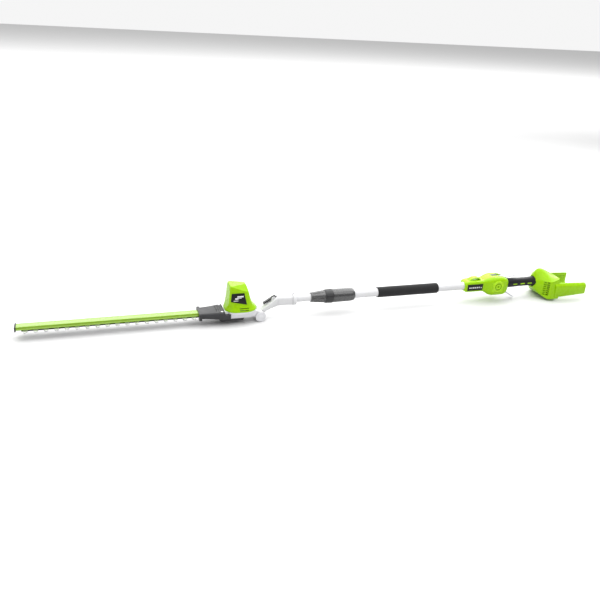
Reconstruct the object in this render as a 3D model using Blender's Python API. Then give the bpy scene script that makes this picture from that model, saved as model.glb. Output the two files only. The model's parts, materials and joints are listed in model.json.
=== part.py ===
"""Pole hedge trimmer: blade head, folding neck, telescopic pole, rear handle and battery bay.

Everything is drawn in millimetres in the pole's own frame: a station along the pole, counted from the
blade tip towards the battery, y across the tool, and z above the pole's axis. place() turns that into metres
with +X towards the battery, +Z up, the ground at z = 0 and x = 0 half way along the tool.
"""

from math import cos, pi, radians, sin

import bmesh
import bpy
from mathutils import Matrix, Vector

# ---- driving dimensions, in millimetres ----------------------------------------------------------
MM = 0.001
GAP = 0.3                    # between two pieces that touch
TIP = -8.0                   # front of the tip plate
TIP_THICK = 4.0
ARM_END = 1922.0             # rear end of the battery arms
AXIS_HEIGHT = 59.5           # pole axis above the ground

TOOTH_COUNT = 18             # on each side of each blade
TOOTH_PITCH = 28.37
FIRST_TOOTH = 21.5
TOOTH_TIP_Y = 32.5
TOOTH_ROOT_HALF, TOOTH_TIP_HALF = 7.0, 4.6
SPINE_HALF = 16.5
BAR_HALF = 17.0
BAR_TOP, BAR_LOW = -20.0, -29.0
BLADE_THICK = 1.8
UPPER_BLADE_TOP = BAR_LOW - GAP
LOWER_BLADE_TOP = UPPER_BLADE_TOP - BLADE_THICK - GAP
BLADE_LOW = LOWER_BLADE_TOP - BLADE_THICK
STROKE = 8.0                 # each blade slides this far either way
BOLT_STATIONS = (75.0, 200.0, 325.0, 450.0)
BOLT_R, BOLT_HEAD_R = 3.0, 5.6

GUARD_FRONT, GUARD_TOP_END, GUARD_END = 519.0, 598.0, 616.0
GUARD_FLANGE = 8.0           # its thickness
GUARD_SCREW = (590.0, 27.0)  # station, y
HOUSING_FRONT, HOUSING_REAR = 582.0, 698.0
HOUSING_LOW, HOUSING_TOP = -39.6, -16.4   # the top leaves the gap under the motor cover
HOUSING_HALF = 29.8          # half width under the guard
COVER_LOW = -47.5

GEAR_STATION = 625.5
GEAR_TEETH, PINION_TEETH, MODULE = 40, 10, 1.0
GEAR_LOW, GEAR_TOP = -28.7, -23.8
CRANK_DISC_R, CRANK_SHAFT_R = 9.0, 4.0
YOKE_HALF_LENGTH, YOKE_HALF_WIDTH = 31.5, 22.5
MOTOR_STATION = GEAR_STATION + MODULE * (GEAR_TEETH + PINION_TEETH) / 2
MOTOR_R, SHAFT_R = 18.5, 2.5
BEARING_R = 6.0

DOME_BASE = -16.0            # where the motor cover meets the gear housing
DOME_FRONT, DOME_REAR, DOME_HALF = 600.5, 704.0, 43.0
KNUCKLE_STATION, KNUCKLE_Z, KNUCKLE_R = 714.0, -42.5, 17.0
KNUCKLE_BOLT_R = 5.0
TONGUE_HALF = 14.2
EAR_IN, EAR_OUT = 14.6, 25.5

NECK_END = 771.0
SOCKET_END = 822.0
RING_WIDTH = 12.0            # of the clamp ring behind the socket
LEVER_PIVOT = (759.0, 10.2)  # station, z
LEVER_HALF = 4.8
LEVER_PIN_R = 1.6
INNER_TUBE_R, INNER_TUBE_WALL = 12.0, 1.3
INNER_TUBE_FRONT, INNER_TUBE_REAR = 791.0, 1435.0
OUTER_TUBE_R, OUTER_TUBE_WALL = 14.0, 1.0
OUTER_TUBE_FRONT, OUTER_TUBE_REAR = 985.0, 1545.0
COLLAR_FRONT, RING_FRONT, RING_REAR, COLLAR_REAR = 885.0, 932.5, 960.0, 1036.0
COLLAR_NECK_R = 16.4         # of the part under the ring
COLLET_FRONT, COLLET_REAR = 896.0, 924.0
FOAM_FRONT, FOAM_REAR, FOAM_R = 1120.0, 1345.0, 17.8

HANDLE_FRONT, HANDLE_REAR = 1447.0, 1618.0
HANDLE_SOCKET_END = 1546.0   # how deep the outer tube sits
WALL = 2.5                   # of the moulded shells
GRIP_FRONT, GRIP_REAR = 1618.5, 1744.0
GRIP_FLARE_R = 19.2
CORE_R = 12.5
BOSS = (1568.0, 0.0, 1.5)
TRIGGER_PIVOT = (1600.0, -27.0)
LOCK_PIVOT = (1592.0, 23.0)
TRIGGER_HALF, LOCK_HALF = 7.5, 8.6
TRIGGER_PIN_HALF, LOCK_PIN_HALF = 26.9, 30.0
PIN_R = 2.0

BAY_WALL = 1810.0
ARM_IN, ARM_OUT = 50.0, 61.5
BODY_LOW = -53.0
TERMINAL_Z = -17.0


# ---- scene and materials -------------------------------------------------------------------------
def clear_scene():
    for obj in list(bpy.data.objects):
        bpy.data.objects.remove(obj)


def material(name, color, roughness=0.5, metallic=0.0):
    made = bpy.data.materials.new(name)
    made.use_nodes = True
    shader = made.node_tree.nodes["Principled BSDF"]
    shader.inputs["Base Color"].default_value = (*color, 1.0)
    shader.inputs["Roughness"].default_value = roughness
    shader.inputs["Metallic"].default_value = metallic
    made.diffuse_color = (*color, 1.0)
    return made


def make_materials():
    return {
        "green": material("green_plastic", (0.33, 0.62, 0.02), 0.42),
        "bar_green": material("bar_green", (0.36, 0.66, 0.03), 0.35),
        "grey": material("grey_plastic", (0.10, 0.10, 0.11), 0.5),
        "collar_grey": material("collar_grey", (0.13, 0.13, 0.14), 0.5),
        "black": material("black_plastic", (0.02, 0.02, 0.022), 0.45),
        "rubber": material("black_rubber", (0.025, 0.025, 0.03), 0.75),
        "foam": material("foam", (0.03, 0.03, 0.032), 0.95),
        "white": material("white_paint", (0.80, 0.80, 0.80), 0.35),
        "cast": material("cast_aluminium", (0.62, 0.62, 0.63), 0.45, 0.6),
        "steel": material("steel", (0.55, 0.55, 0.56), 0.3, 1.0),
        "dark_steel": material("dark_steel", (0.08, 0.08, 0.085), 0.4, 0.8),
        "light_plastic": material("light_plastic", (0.6, 0.6, 0.62), 0.45),
        "badge": material("badge_black", (0.015, 0.015, 0.016), 0.3),
        "copper": material("copper", (0.6, 0.3, 0.12), 0.35, 1.0),
        "board": material("board_green", (0.02, 0.12, 0.05), 0.5),
    }


# ---- building blocks -----------------------------------------------------------------------------
TO_MIDDLE = Matrix.Translation((-(TIP + ARM_END) / 2, 0.0, 0.0))
FRAME = Matrix.Translation((0.0, 0.0, AXIS_HEIGHT * MM)) @ Matrix.Scale(MM, 4) @ TO_MIDDLE


def place(station, y, z):
    """The point in the world, in metres."""
    return FRAME @ Vector((station, y, z))


def finish(name, bm, surface, origin=None, bevel=0.0, sharp=35.0):
    """One object from a mesh drawn in the pole's frame, with its origin at the given point."""
    bmesh.ops.transform(bm, matrix=FRAME, verts=bm.verts)
    at = place(*origin) if origin else Vector((0.0, 0.0, 0.0))
    bmesh.ops.translate(bm, vec=-at, verts=bm.verts)
    bmesh.ops.recalc_face_normals(bm, faces=bm.faces)
    mesh = bpy.data.meshes.new(name)
    bm.to_mesh(mesh)
    bm.free()
    mesh.shade_smooth()
    mesh.set_sharp_from_angle(angle=radians(sharp))
    if surface:
        mesh.materials.append(surface)
    obj = bpy.data.objects.new(name, mesh)
    obj.location = at
    bpy.context.scene.collection.objects.link(obj)
    if bevel:
        edge = obj.modifiers.new("edges", "BEVEL")
        edge.width = bevel * MM
        edge.segments = 1
        edge.limit_method = "ANGLE"
        edge.angle_limit = radians(40)
    return obj


def combine(obj, bm, operation="DIFFERENCE"):
    """Cuts a mesh out of an object, or joins it on. The helper stays hidden in the scene."""
    helper = finish(f"{obj.name}_{operation.lower()}", bm, None)
    helper.hide_render = True
    helper.display_type = "WIRE"
    step = obj.modifiers.new(operation.lower(), "BOOLEAN")
    step.operation = operation
    step.object = helper
    step.solver = "EXACT"
    return helper


def bridge(bm, first, second):
    count = len(first)
    for i in range(count):
        j = (i + 1) % count
        bm.faces.new((first[i], first[j], second[j], second[i]))


def loft(bm, loops, cap_first=True, cap_last=True):
    """Skins through loops that have the same number of points, and returns their vertices."""
    rows = [[bm.verts.new(point) for point in loop] for loop in loops]
    for first, second in zip(rows, rows[1:]):
        bridge(bm, first, second)
    if cap_first:
        bm.faces.new(rows[0])
    if cap_last:
        bm.faces.new(rows[-1])
    return rows


def loft_shell(bm, outer, inner):
    """A cup: outer and inner skins joined along their first loops, both closed at their last."""
    outside = loft(bm, outer, cap_first=False)
    inside = loft(bm, inner, cap_first=False)
    bridge(bm, outside[0], inside[0])


def circle(radius, count):
    angles = [2 * pi * i / count for i in range(count)]
    return [(radius * cos(angle), radius * sin(angle)) for angle in angles]


AXES = {
    "X": lambda along, u, v: (along, u, v),
    "Y": lambda along, u, v: (v, along, u),
    "Z": lambda along, u, v: (u, v, along),
}


def turned(bm, axis, centre, profile, count=24):
    """Turns (along, radius) points about an axis through centre. A profile that never meets the axis is a
    closed ring section; one that starts and ends at radius 0 is a solid."""
    to_point = AXES[axis]
    solid = profile[0][1] == 0
    rows = []
    for along, radius in profile:
        spots = [(0.0, 0.0)] if radius == 0 else circle(radius, count)
        rows.append([bm.verts.new(Vector(to_point(along, u, v)) + Vector(centre)) for u, v in spots])
    pairs = list(zip(rows, rows[1:]))
    if not solid:
        pairs.append((rows[-1], rows[0]))
    for first, second in pairs:
        if len(first) == 1 or len(second) == 1:
            tip, rim = (first[0], second) if len(first) == 1 else (second[0], first)
            for i in range(count):
                bm.faces.new((tip, rim[i], rim[(i + 1) % count]))
        else:
            bridge(bm, first, second)


def tube_profile(start, end, outer, inner):
    return [(start, outer), (end, outer), (end, inner), (start, inner)]


def rod_profile(start, end, radius):
    return [(start, 0), (start, radius), (end, radius), (end, 0)]


def block(bm, x, y, z):
    """A box from three (low, high) pairs."""
    corners = [(y[0], z[0]), (y[1], z[0]), (y[1], z[1]), (y[0], z[1])]
    loft(bm, [across(station, corners) for station in x])


def prism(bm, axis, outline, start, end):
    """Extrudes a (u, v) outline along an axis."""
    to_point = AXES[axis]
    loft(bm, [[to_point(along, u, v) for u, v in outline] for along in (start, end)])


def side_prism(bm, outline, start, end):
    """Extrudes a (station, z) outline across the tool."""
    prism(bm, "Y", [(z, station) for station, z in outline], start, end)


def rounded(low_u, high_u, low_v, high_v, radius, steps=3):
    """A rounded rectangle. radius is one number, or four: high-u high-v first, then round by way of low-u."""
    radii = radius if isinstance(radius, (tuple, list)) else (radius,) * 4
    corners = (
        (high_u, high_v, -1, -1, 0),
        (low_u, high_v, 1, -1, 90),
        (low_u, low_v, 1, 1, 180),
        (high_u, low_v, -1, 1, 270),
    )
    points = []
    for (u, v, side_u, side_v, turn), r in zip(corners, radii):
        for i in range(steps + 1):
            angle = radians(turn + 90 * i / steps)
            points.append((u + side_u * r + r * cos(angle), v + side_v * r + r * sin(angle)))
    return points


def across(station, outline):
    """An outline of (y, z) points, set across the pole."""
    return [(station, y, z) for y, z in outline]


def level(z, outline):
    """An outline of (station, y) points, laid flat."""
    return [(station, y, z) for station, y in outline]


def slot_outline(centre, half_length, radius, steps=5):
    """A slot of (station, y) points along the pole."""
    points = []
    for side, turn in ((1, -90), (-1, 90)):
        for i in range(steps + 1):
            angle = radians(turn + 180 * i / steps)
            points.append((centre + side * half_length + radius * cos(angle), radius * sin(angle)))
    return points


# ---- blade ---------------------------------------------------------------------------------------
def blade_outline():
    """One blade seen from above: teeth on both sides, a plain shank, and a wider tail for the yoke."""
    root, tip = TOOTH_ROOT_HALF, TOOTH_TIP_HALF
    side = [(FIRST_TOOTH - 11.0, SPINE_HALF)]
    for i in range(TOOTH_COUNT):
        station = FIRST_TOOTH + i * TOOTH_PITCH
        side += [
            (station - root, SPINE_HALF),
            (station - tip, TOOTH_TIP_Y - 2.4),
            (station - tip * 0.55, TOOTH_TIP_Y),
            (station + tip * 0.55, TOOTH_TIP_Y),
            (station + tip, TOOTH_TIP_Y - 2.4),
            (station + root, SPINE_HALF),
        ]
    yoke, yoke_end = GEAR_STATION - YOKE_HALF_LENGTH, GEAR_STATION + YOKE_HALF_LENGTH
    side += [(yoke, SPINE_HALF), (yoke, YOKE_HALF_WIDTH), (yoke_end, YOKE_HALF_WIDTH)]
    return side + [(station, -y) for station, y in reversed(side)]


def make_blade(name, top, surface):
    bm = bmesh.new()
    prism(bm, "Z", blade_outline(), top - BLADE_THICK, top)
    blade = finish(name, bm, surface, origin=(GEAR_STATION, 0, top - BLADE_THICK / 2))
    bm = bmesh.new()
    for station in BOLT_STATIONS:
        prism(bm, "Z", slot_outline(station, STROKE + GAP, BOLT_R + 0.4), top - BLADE_THICK - 1, top + 1)
    reach_x, reach_y = CRANK_DISC_R + 2 * STROKE + GAP, CRANK_DISC_R + STROKE + GAP
    window = rounded(GEAR_STATION - reach_x, GEAR_STATION + reach_x, -reach_y, reach_y, 2.0, steps=1)
    prism(bm, "Z", window, top - BLADE_THICK - 1, top + 1)
    combine(blade, bm)


def make_blade_group(mats):
    make_blade("upper_blade", UPPER_BLADE_TOP, mats["steel"])
    make_blade("lower_blade", LOWER_BLADE_TOP, mats["steel"])

    groove = -24.4
    half = [(0, BAR_LOW), (BAR_HALF, BAR_LOW), (BAR_HALF, groove - 0.7), (BAR_HALF - 0.9, groove)]
    half += [(BAR_HALF, groove + 0.7), (BAR_HALF - 1.0, BAR_TOP - 0.5)]
    half += [(BAR_HALF - 3.0, BAR_TOP), (0, BAR_TOP)]
    section = half + [(-y, z) for y, z in reversed(half[1:-1])]
    bm = bmesh.new()
    prism(bm, "X", section, TIP + TIP_THICK + GAP, HOUSING_FRONT + 7.5)
    bar = finish("support_bar", bm, mats["bar_green"])
    bm = bmesh.new()
    for station in BOLT_STATIONS:
        turned(bm, "Z", (station, 0, 0), rod_profile(BAR_LOW - 1, BAR_TOP - 3, BOLT_R + 0.2), 12)
    combine(bar, bm)

    bm = bmesh.new()
    plate = rounded(-BAR_HALF - 0.6, BAR_HALF + 0.6, BLADE_LOW - 0.8, BAR_TOP + 0.5, 1.6, steps=2)
    prism(bm, "X", plate, TIP, TIP + TIP_THICK)
    finish("tip_plate", bm, mats["dark_steel"])

    for i, station in enumerate(BOLT_STATIONS, 1):
        bm = bmesh.new()
        head = BLADE_LOW - GAP
        profile = [(head - 2.6, 0), (head - 2.6, BOLT_HEAD_R - 1), (head - 1.8, BOLT_HEAD_R)]
        profile += [(head, BOLT_HEAD_R), (head, BOLT_R)]
        turned(bm, "Z", (station, 0, 0), profile + [(BAR_TOP - 3.4, BOLT_R), (BAR_TOP - 3.4, 0)], 12)
        finish(f"blade_bolt_{i}", bm, mats["dark_steel"])


def guard_top(station):
    """Height of the guard's top face."""
    low, high, start = -16.6, -14.0, 560.0
    return low + (high - low) * (station - start) / (GUARD_TOP_END - start)


def make_guard(mats):
    bm = bmesh.new()
    flange = rounded(-34.5, 34.5, -40, -16, 5)
    loft(bm, [across(station, flange) for station in (GUARD_FRONT, GUARD_FRONT + GUARD_FLANGE)])
    guard = finish("blade_guard", bm, mats["grey"])
    bm = bmesh.new()
    stations = (
        (GUARD_FRONT + 6, 29.0, -34.0, -18.0, (5, 5, 3, 3)),
        (560.0, 33.0, -36.5, guard_top(560.0), (7, 7, 3, 3)),
        (GUARD_TOP_END, 39.0, -39.0, guard_top(GUARD_TOP_END), (9, 9, 3, 3)),
    )
    loft(bm, [across(s, rounded(-w, w, low, high, r)) for s, w, low, high, r in stations])
    combine(guard, bm, "UNION")
    bm = bmesh.new()
    wing = rounded(-39, 39, -39.4, -22.4, 3)
    loft(bm, [across(station, wing) for station in (GUARD_TOP_END - 4, GUARD_END)])
    combine(guard, bm, "UNION")
    bm = bmesh.new()
    channel = BAR_HALF + 0.4
    block(bm, (GUARD_FRONT - 5, HOUSING_FRONT + 2), (-channel, channel), (BLADE_LOW - 0.7, BAR_TOP + 0.4))
    combine(guard, bm)
    bm = bmesh.new()
    block(bm, (GUARD_FRONT - 4, HOUSING_FRONT + 1), (-12, 12), (-60, BLADE_LOW - 0.5))
    combine(guard, bm)
    bm = bmesh.new()
    seat = HOUSING_HALF + 0.5
    block(bm, (HOUSING_FRONT - GAP, GUARD_END + 5), (-seat, seat), (-60, HOUSING_TOP + GAP))
    combine(guard, bm)
    bm = bmesh.new()
    for i in range(4):
        station = 573.0 + 6.5 * i
        block(bm, (station, station + 3.6), (-22.0, 24.0), (guard_top(station) - 0.8, 5.0))
    combine(guard, bm)
    bm = bmesh.new()
    screw_station, screw_y = GUARD_SCREW
    for side in (-1, 1):
        turned(bm, "Z", (screw_station, side * screw_y, 0), rod_profile(-17.6, 5.0, 4.6), 14)
    combine(guard, bm)
    screw = [(-15.9, 0), (-15.9, 3.9), (-14.1, 3.9), (-13.6, 2.6), (-13.6, 0)]
    for side, name in ((-1, "left"), (1, "right")):
        bm = bmesh.new()
        turned(bm, "Z", (screw_station, side * screw_y, 0), screw, 14)
        finish(f"guard_screw_{name}", bm, mats["steel"])


# ---- gear case, motor and drive ------------------------------------------------------------------
def dome_plan(front, rear, half_front, half_rear, front_r, rear_r, steps=4):
    """A flat (station, y) outline whose rear half may be narrower than its front half."""
    points = []
    corners = ((rear, 1, -1, -1, 0), (front, 1, 1, -1, 90), (front, -1, 1, 1, 180), (rear, -1, -1, 1, 270))
    for u, v, side_u, side_v, turn in corners:
        half = half_rear if u == rear else half_front
        r = rear_r if u == rear else front_r
        for i in range(steps + 1):
            angle = radians(turn + 90 * i / steps)
            points.append((u + side_u * r + r * cos(angle), v * half + side_v * r + r * sin(angle)))
    return points


# z, front, rear, half width at the front and at the rear, corner radii at the front and at the rear
DOME_LEVELS = (
    (DOME_BASE, DOME_FRONT, DOME_REAR, DOME_HALF, DOME_HALF, 36, 41),
    (DOME_BASE + 3, DOME_FRONT, DOME_REAR, DOME_HALF, DOME_HALF, 36, 41),
    (-6.0, 604.0, 698.0, 40.0, 40.0, 28, 34),
    (2.0, 608.0, 689.0, 36.5, 36.5, 16, 22),
    (12.0, 610.5, 683.0, 34.0, 34.0, 9, 14),
    (46.0, 613.5, 674.0, 29.5, 29.5, 8, 10),
    (57.0, 614.5, 671.0, 28.0, 23.0, 8, 10),
    (63.5, 616.0, 667.5, 26.0, 18.0, 8, 9),
    (66.0, 619.5, 662.0, 22.0, 14.0, 7, 8),
)


def make_motor_cover(mats):
    outer, inner = [], []
    for z, front, rear, half_front, half_rear, front_r, rear_r in DOME_LEVELS:
        outer.append(level(z, dome_plan(front, rear, half_front, half_rear, front_r, rear_r)))
        halves = (half_front - WALL, half_rear - WALL)
        radii = (front_r - WALL, rear_r - WALL)
        roof = WALL if z > 60 else 0.0
        inner.append(level(z - roof, dome_plan(front + WALL, rear - WALL, *halves, *radii)))
    bm = bmesh.new()
    loft_shell(bm, outer, inner)
    dome = finish("motor_cover", bm, mats["green"])
    bm = bmesh.new()
    for z in (-11.0, -5.5):
        block(bm, (643, 672), (-60, 60), (z, z + 2.4))
    combine(dome, bm)

    # The plate lies on the dome's leaning side, whose half width falls from the fifth level to the sixth.
    low_z, low_half = DOME_LEVELS[4][0], DOME_LEVELS[4][3]
    high_z, high_half = DOME_LEVELS[5][0], DOME_LEVELS[5][3]
    lean = (low_half - high_half) / (high_z - low_z)
    corners = ((619.0, 44.0), (658.5, 44.0), (666.0, 7.0), (615.5, 18.5))
    rows = []
    for skin in (0.4, 1.3):
        row = []
        for station, z in corners:
            below = 0.35 if z < low_z else 0.0
            row.append((station, -(high_half + (high_z - z) * lean) - skin - below, z))
        rows.append(row)
    bm = bmesh.new()
    loft(bm, rows)
    finish("badge_plate", bm, mats["badge"])


def make_gear_case(mats):
    bm = bmesh.new()
    lower = [(HOUSING_FRONT, HOUSING_HALF, 4), (GUARD_END + 0.4, HOUSING_HALF, 4)]
    lower += [(GUARD_END + 0.5, 34.0, 4), (672.0, 34.0, 5), (HOUSING_REAR, 26.5, 5)]
    loft(bm, [across(s, rounded(-w, w, HOUSING_LOW, -20.6, r)) for s, w, r in lower])
    case = finish("gear_housing", bm, mats["cast"])
    bm = bmesh.new()
    plan = dome_plan(DOME_FRONT, DOME_REAR, DOME_HALF, DOME_HALF, 36, 41)
    prism(bm, "Z", plan, -22.0, HOUSING_TOP)
    combine(case, bm, "UNION")
    bm = bmesh.new()
    block(bm, (HOUSING_FRONT, 608), (-HOUSING_HALF, HOUSING_HALF), (HOUSING_LOW, HOUSING_TOP))
    combine(case, bm, "UNION")
    ear_r = KNUCKLE_R - 0.5
    for side in (-1, 1):
        bm = bmesh.new()
        ear = []
        for turn in range(-20, 171, 19):
            along, up = sin(radians(turn)), -cos(radians(turn))
            ear.append((KNUCKLE_STATION + ear_r * along, KNUCKLE_Z + ear_r * up))
        ear += [(694.0, -19.0), (686.0, -23.0), (686.0, -38.5), (700.0, -44.0)]
        side_prism(bm, ear, side * EAR_IN, side * EAR_OUT)
        combine(case, bm, "UNION")
    bm = bmesh.new()
    block(bm, (584.5, 668.5), (-25.5, 25.5), (HOUSING_LOW - 2, -21.6))
    combine(case, bm)
    bm = bmesh.new()
    block(bm, (HOUSING_FRONT - 3, 590.0), (-BAR_HALF - 0.3, BAR_HALF + 0.3), (-45.0, BAR_TOP + 0.3))
    combine(case, bm)
    bm = bmesh.new()
    turned(bm, "Z", (GEAR_STATION, 0, 0), rod_profile(-25, -19.0, CRANK_SHAFT_R + 0.3), 20)
    turned(bm, "Z", (MOTOR_STATION, 0, 0), rod_profile(-25, 0.0, BEARING_R + GAP), 20)
    turned(bm, "Y", (KNUCKLE_STATION, 0, KNUCKLE_Z), rod_profile(-40, 40, KNUCKLE_BOLT_R + GAP), 20)
    combine(case, bm)
    bm = bmesh.new()
    block(bm, (KNUCKLE_STATION - KNUCKLE_R - 1, KNUCKLE_STATION + 30), (-EAR_IN, EAR_IN), (-70, -13))
    combine(case, bm)

    bm = bmesh.new()
    plan = rounded(HOUSING_FRONT + 1, 661.0, -29.0, 29.0, 6, steps=2)
    prism(bm, "Z", plan, COVER_LOW, HOUSING_LOW - GAP)
    cover = finish("gear_cover", bm, mats["black"], bevel=1.0)
    bm = bmesh.new()
    hole = rod_profile(HOUSING_LOW - 5, HOUSING_LOW + 3, CRANK_SHAFT_R + 0.15)
    turned(bm, "Z", (GEAR_STATION, 0, 0), hole, 20)
    combine(cover, bm)


def gear_outline(teeth, tip_add, root_sub, phase):
    """Trapezoid teeth about the origin, slightly thinner than half the pitch so that they run free."""
    pitch_r = MODULE * teeth / 2
    root, tip = pitch_r - root_sub, pitch_r + tip_add
    points = []
    for i in range(teeth):
        middle = phase + 2 * pi * i / teeth
        for radius, half in ((root, 0.32), (tip, 0.13), (tip, -0.13), (root, -0.32)):
            angle = middle - half * 2 * pi / teeth
            points.append((radius * cos(angle), radius * sin(angle)))
    return points


def make_drive(mats):
    bm = bmesh.new()
    wheel = [(GEAR_STATION + x, y) for x, y in gear_outline(GEAR_TEETH, 0.8, 1.15, pi / GEAR_TEETH)]
    prism(bm, "Z", wheel, GEAR_LOW, GEAR_TOP)
    crank = finish("crank_gear", bm, mats["steel"], origin=(GEAR_STATION, 0, GEAR_LOW))
    bm = bmesh.new()
    turned(bm, "Z", (GEAR_STATION, 0, 0), rod_profile(HOUSING_LOW - 4.5, -19.4, CRANK_SHAFT_R), 20)
    combine(crank, bm, "UNION")
    for side, top in ((1, UPPER_BLADE_TOP), (-1, LOWER_BLADE_TOP)):
        bm = bmesh.new()
        disc = rod_profile(top - BLADE_THICK, top, CRANK_DISC_R)
        turned(bm, "Z", (GEAR_STATION, side * STROKE, 0), disc, 24)
        combine(crank, bm, "UNION")

    bm = bmesh.new()
    turned(bm, "Z", (MOTOR_STATION, 0, 0), rod_profile(GEAR_LOW, 54.0, SHAFT_R), 16)
    finish("motor_shaft", bm, mats["steel"], origin=(MOTOR_STATION, 0, 0))
    bm = bmesh.new()
    outline = [(MOTOR_STATION + x, y) for x, y in gear_outline(PINION_TEETH, 0.8, 1.15, pi)]
    prism(bm, "Z", outline, GEAR_LOW, GEAR_TOP + 0.5)
    pinion = finish("pinion", bm, mats["steel"], origin=(MOTOR_STATION, 0, GEAR_LOW))
    bm = bmesh.new()
    turned(bm, "Z", (MOTOR_STATION, 0, 0), rod_profile(GEAR_LOW - 5, GEAR_TOP + 5, SHAFT_R + 0.1), 16)
    combine(pinion, bm)

    bm = bmesh.new()
    turned(bm, "Z", (MOTOR_STATION, 0, 0), tube_profile(-21.0, -16.6, BEARING_R, SHAFT_R + 0.15), 20)
    finish("shaft_bearing", bm, mats["steel"])

    bm = bmesh.new()
    inner, hole, foot, top = MOTOR_R - 1.6, SHAFT_R + 1.5, -15.7, 34.0
    can = [(foot, hole), (foot, MOTOR_R), (top, MOTOR_R), (top, inner), (foot + 2, inner), (foot + 2, hole)]
    turned(bm, "Z", (MOTOR_STATION, 0, 0), can, 24)
    finish("motor_can", bm, mats["steel"])
    bm = bmesh.new()
    turned(bm, "Z", (MOTOR_STATION, 0, 0), tube_profile(-8.0, 26.0, inner - 0.3, 13.2), 24)
    finish("magnet_ring", bm, mats["dark_steel"])
    bm = bmesh.new()
    hole = SHAFT_R + GAP
    core = [(-6.0, hole), (-6.0, 12.4), (24.0, 12.4), (24.0, 7.0), (33.0, 7.0), (33.0, hole)]
    turned(bm, "Z", (MOTOR_STATION, 0, 0), core, 20)
    finish("rotor_core", bm, mats["copper"], origin=(MOTOR_STATION, 0, 0))
    bm = bmesh.new()
    seat, hole = top + GAP, SHAFT_R + 0.5
    cap = [(seat, hole), (seat, MOTOR_R), (38.0, MOTOR_R), (40.5, 13.0), (42.5, 8.0), (42.5, hole)]
    turned(bm, "Z", (MOTOR_STATION, 0, 0), cap, 20)
    finish("motor_end_cap", bm, mats["black"])

    bm = bmesh.new()
    turned(bm, "Z", (MOTOR_STATION, 0, 0), tube_profile(45.0, 53.0, 5.5, SHAFT_R + 0.1), 16)
    fan = finish("cooling_fan", bm, mats["black"], origin=(MOTOR_STATION, 0, 45))
    bm = bmesh.new()
    vanes = 7
    for i in range(vanes):
        spin = Matrix.Translation((MOTOR_STATION, 0, 0)) @ Matrix.Rotation(2 * pi * i / vanes, 4, "Z")
        part = bmesh.new()
        block(part, (4.6, 14.5), (-0.7, 0.7), (46.0, 52.0))
        bmesh.ops.transform(part, matrix=spin, verts=part.verts)
        blade = bpy.data.meshes.new("fan_vane")
        part.to_mesh(blade)
        part.free()
        bm.from_mesh(blade)
        bpy.data.meshes.remove(blade)
    combine(fan, bm, "UNION")


# ---- knuckle and neck ----------------------------------------------------------------------------
def make_knuckle(mats):
    centre = (KNUCKLE_STATION, 0, KNUCKLE_Z)
    bm = bmesh.new()
    turned(bm, "Y", centre, rod_profile(-EAR_OUT + 0.5, EAR_OUT - 0.5, KNUCKLE_BOLT_R), 20)
    finish("pivot_bolt", bm, mats["dark_steel"], origin=centre)
    for side, name in ((-1, "left"), (1, "right")):
        bm = bmesh.new()
        near, far = side * (EAR_OUT + GAP), side * (EAR_OUT + 4.0)
        edge = far - side * 1.2
        profile = [(near, 0), (near, KNUCKLE_R), (edge, KNUCKLE_R), (far, KNUCKLE_R - 1.2), (far, 0)]
        turned(bm, "Y", centre, profile, 32)
        finish(f"pivot_cap_{name}", bm, mats["cast"], origin=centre)


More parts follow.
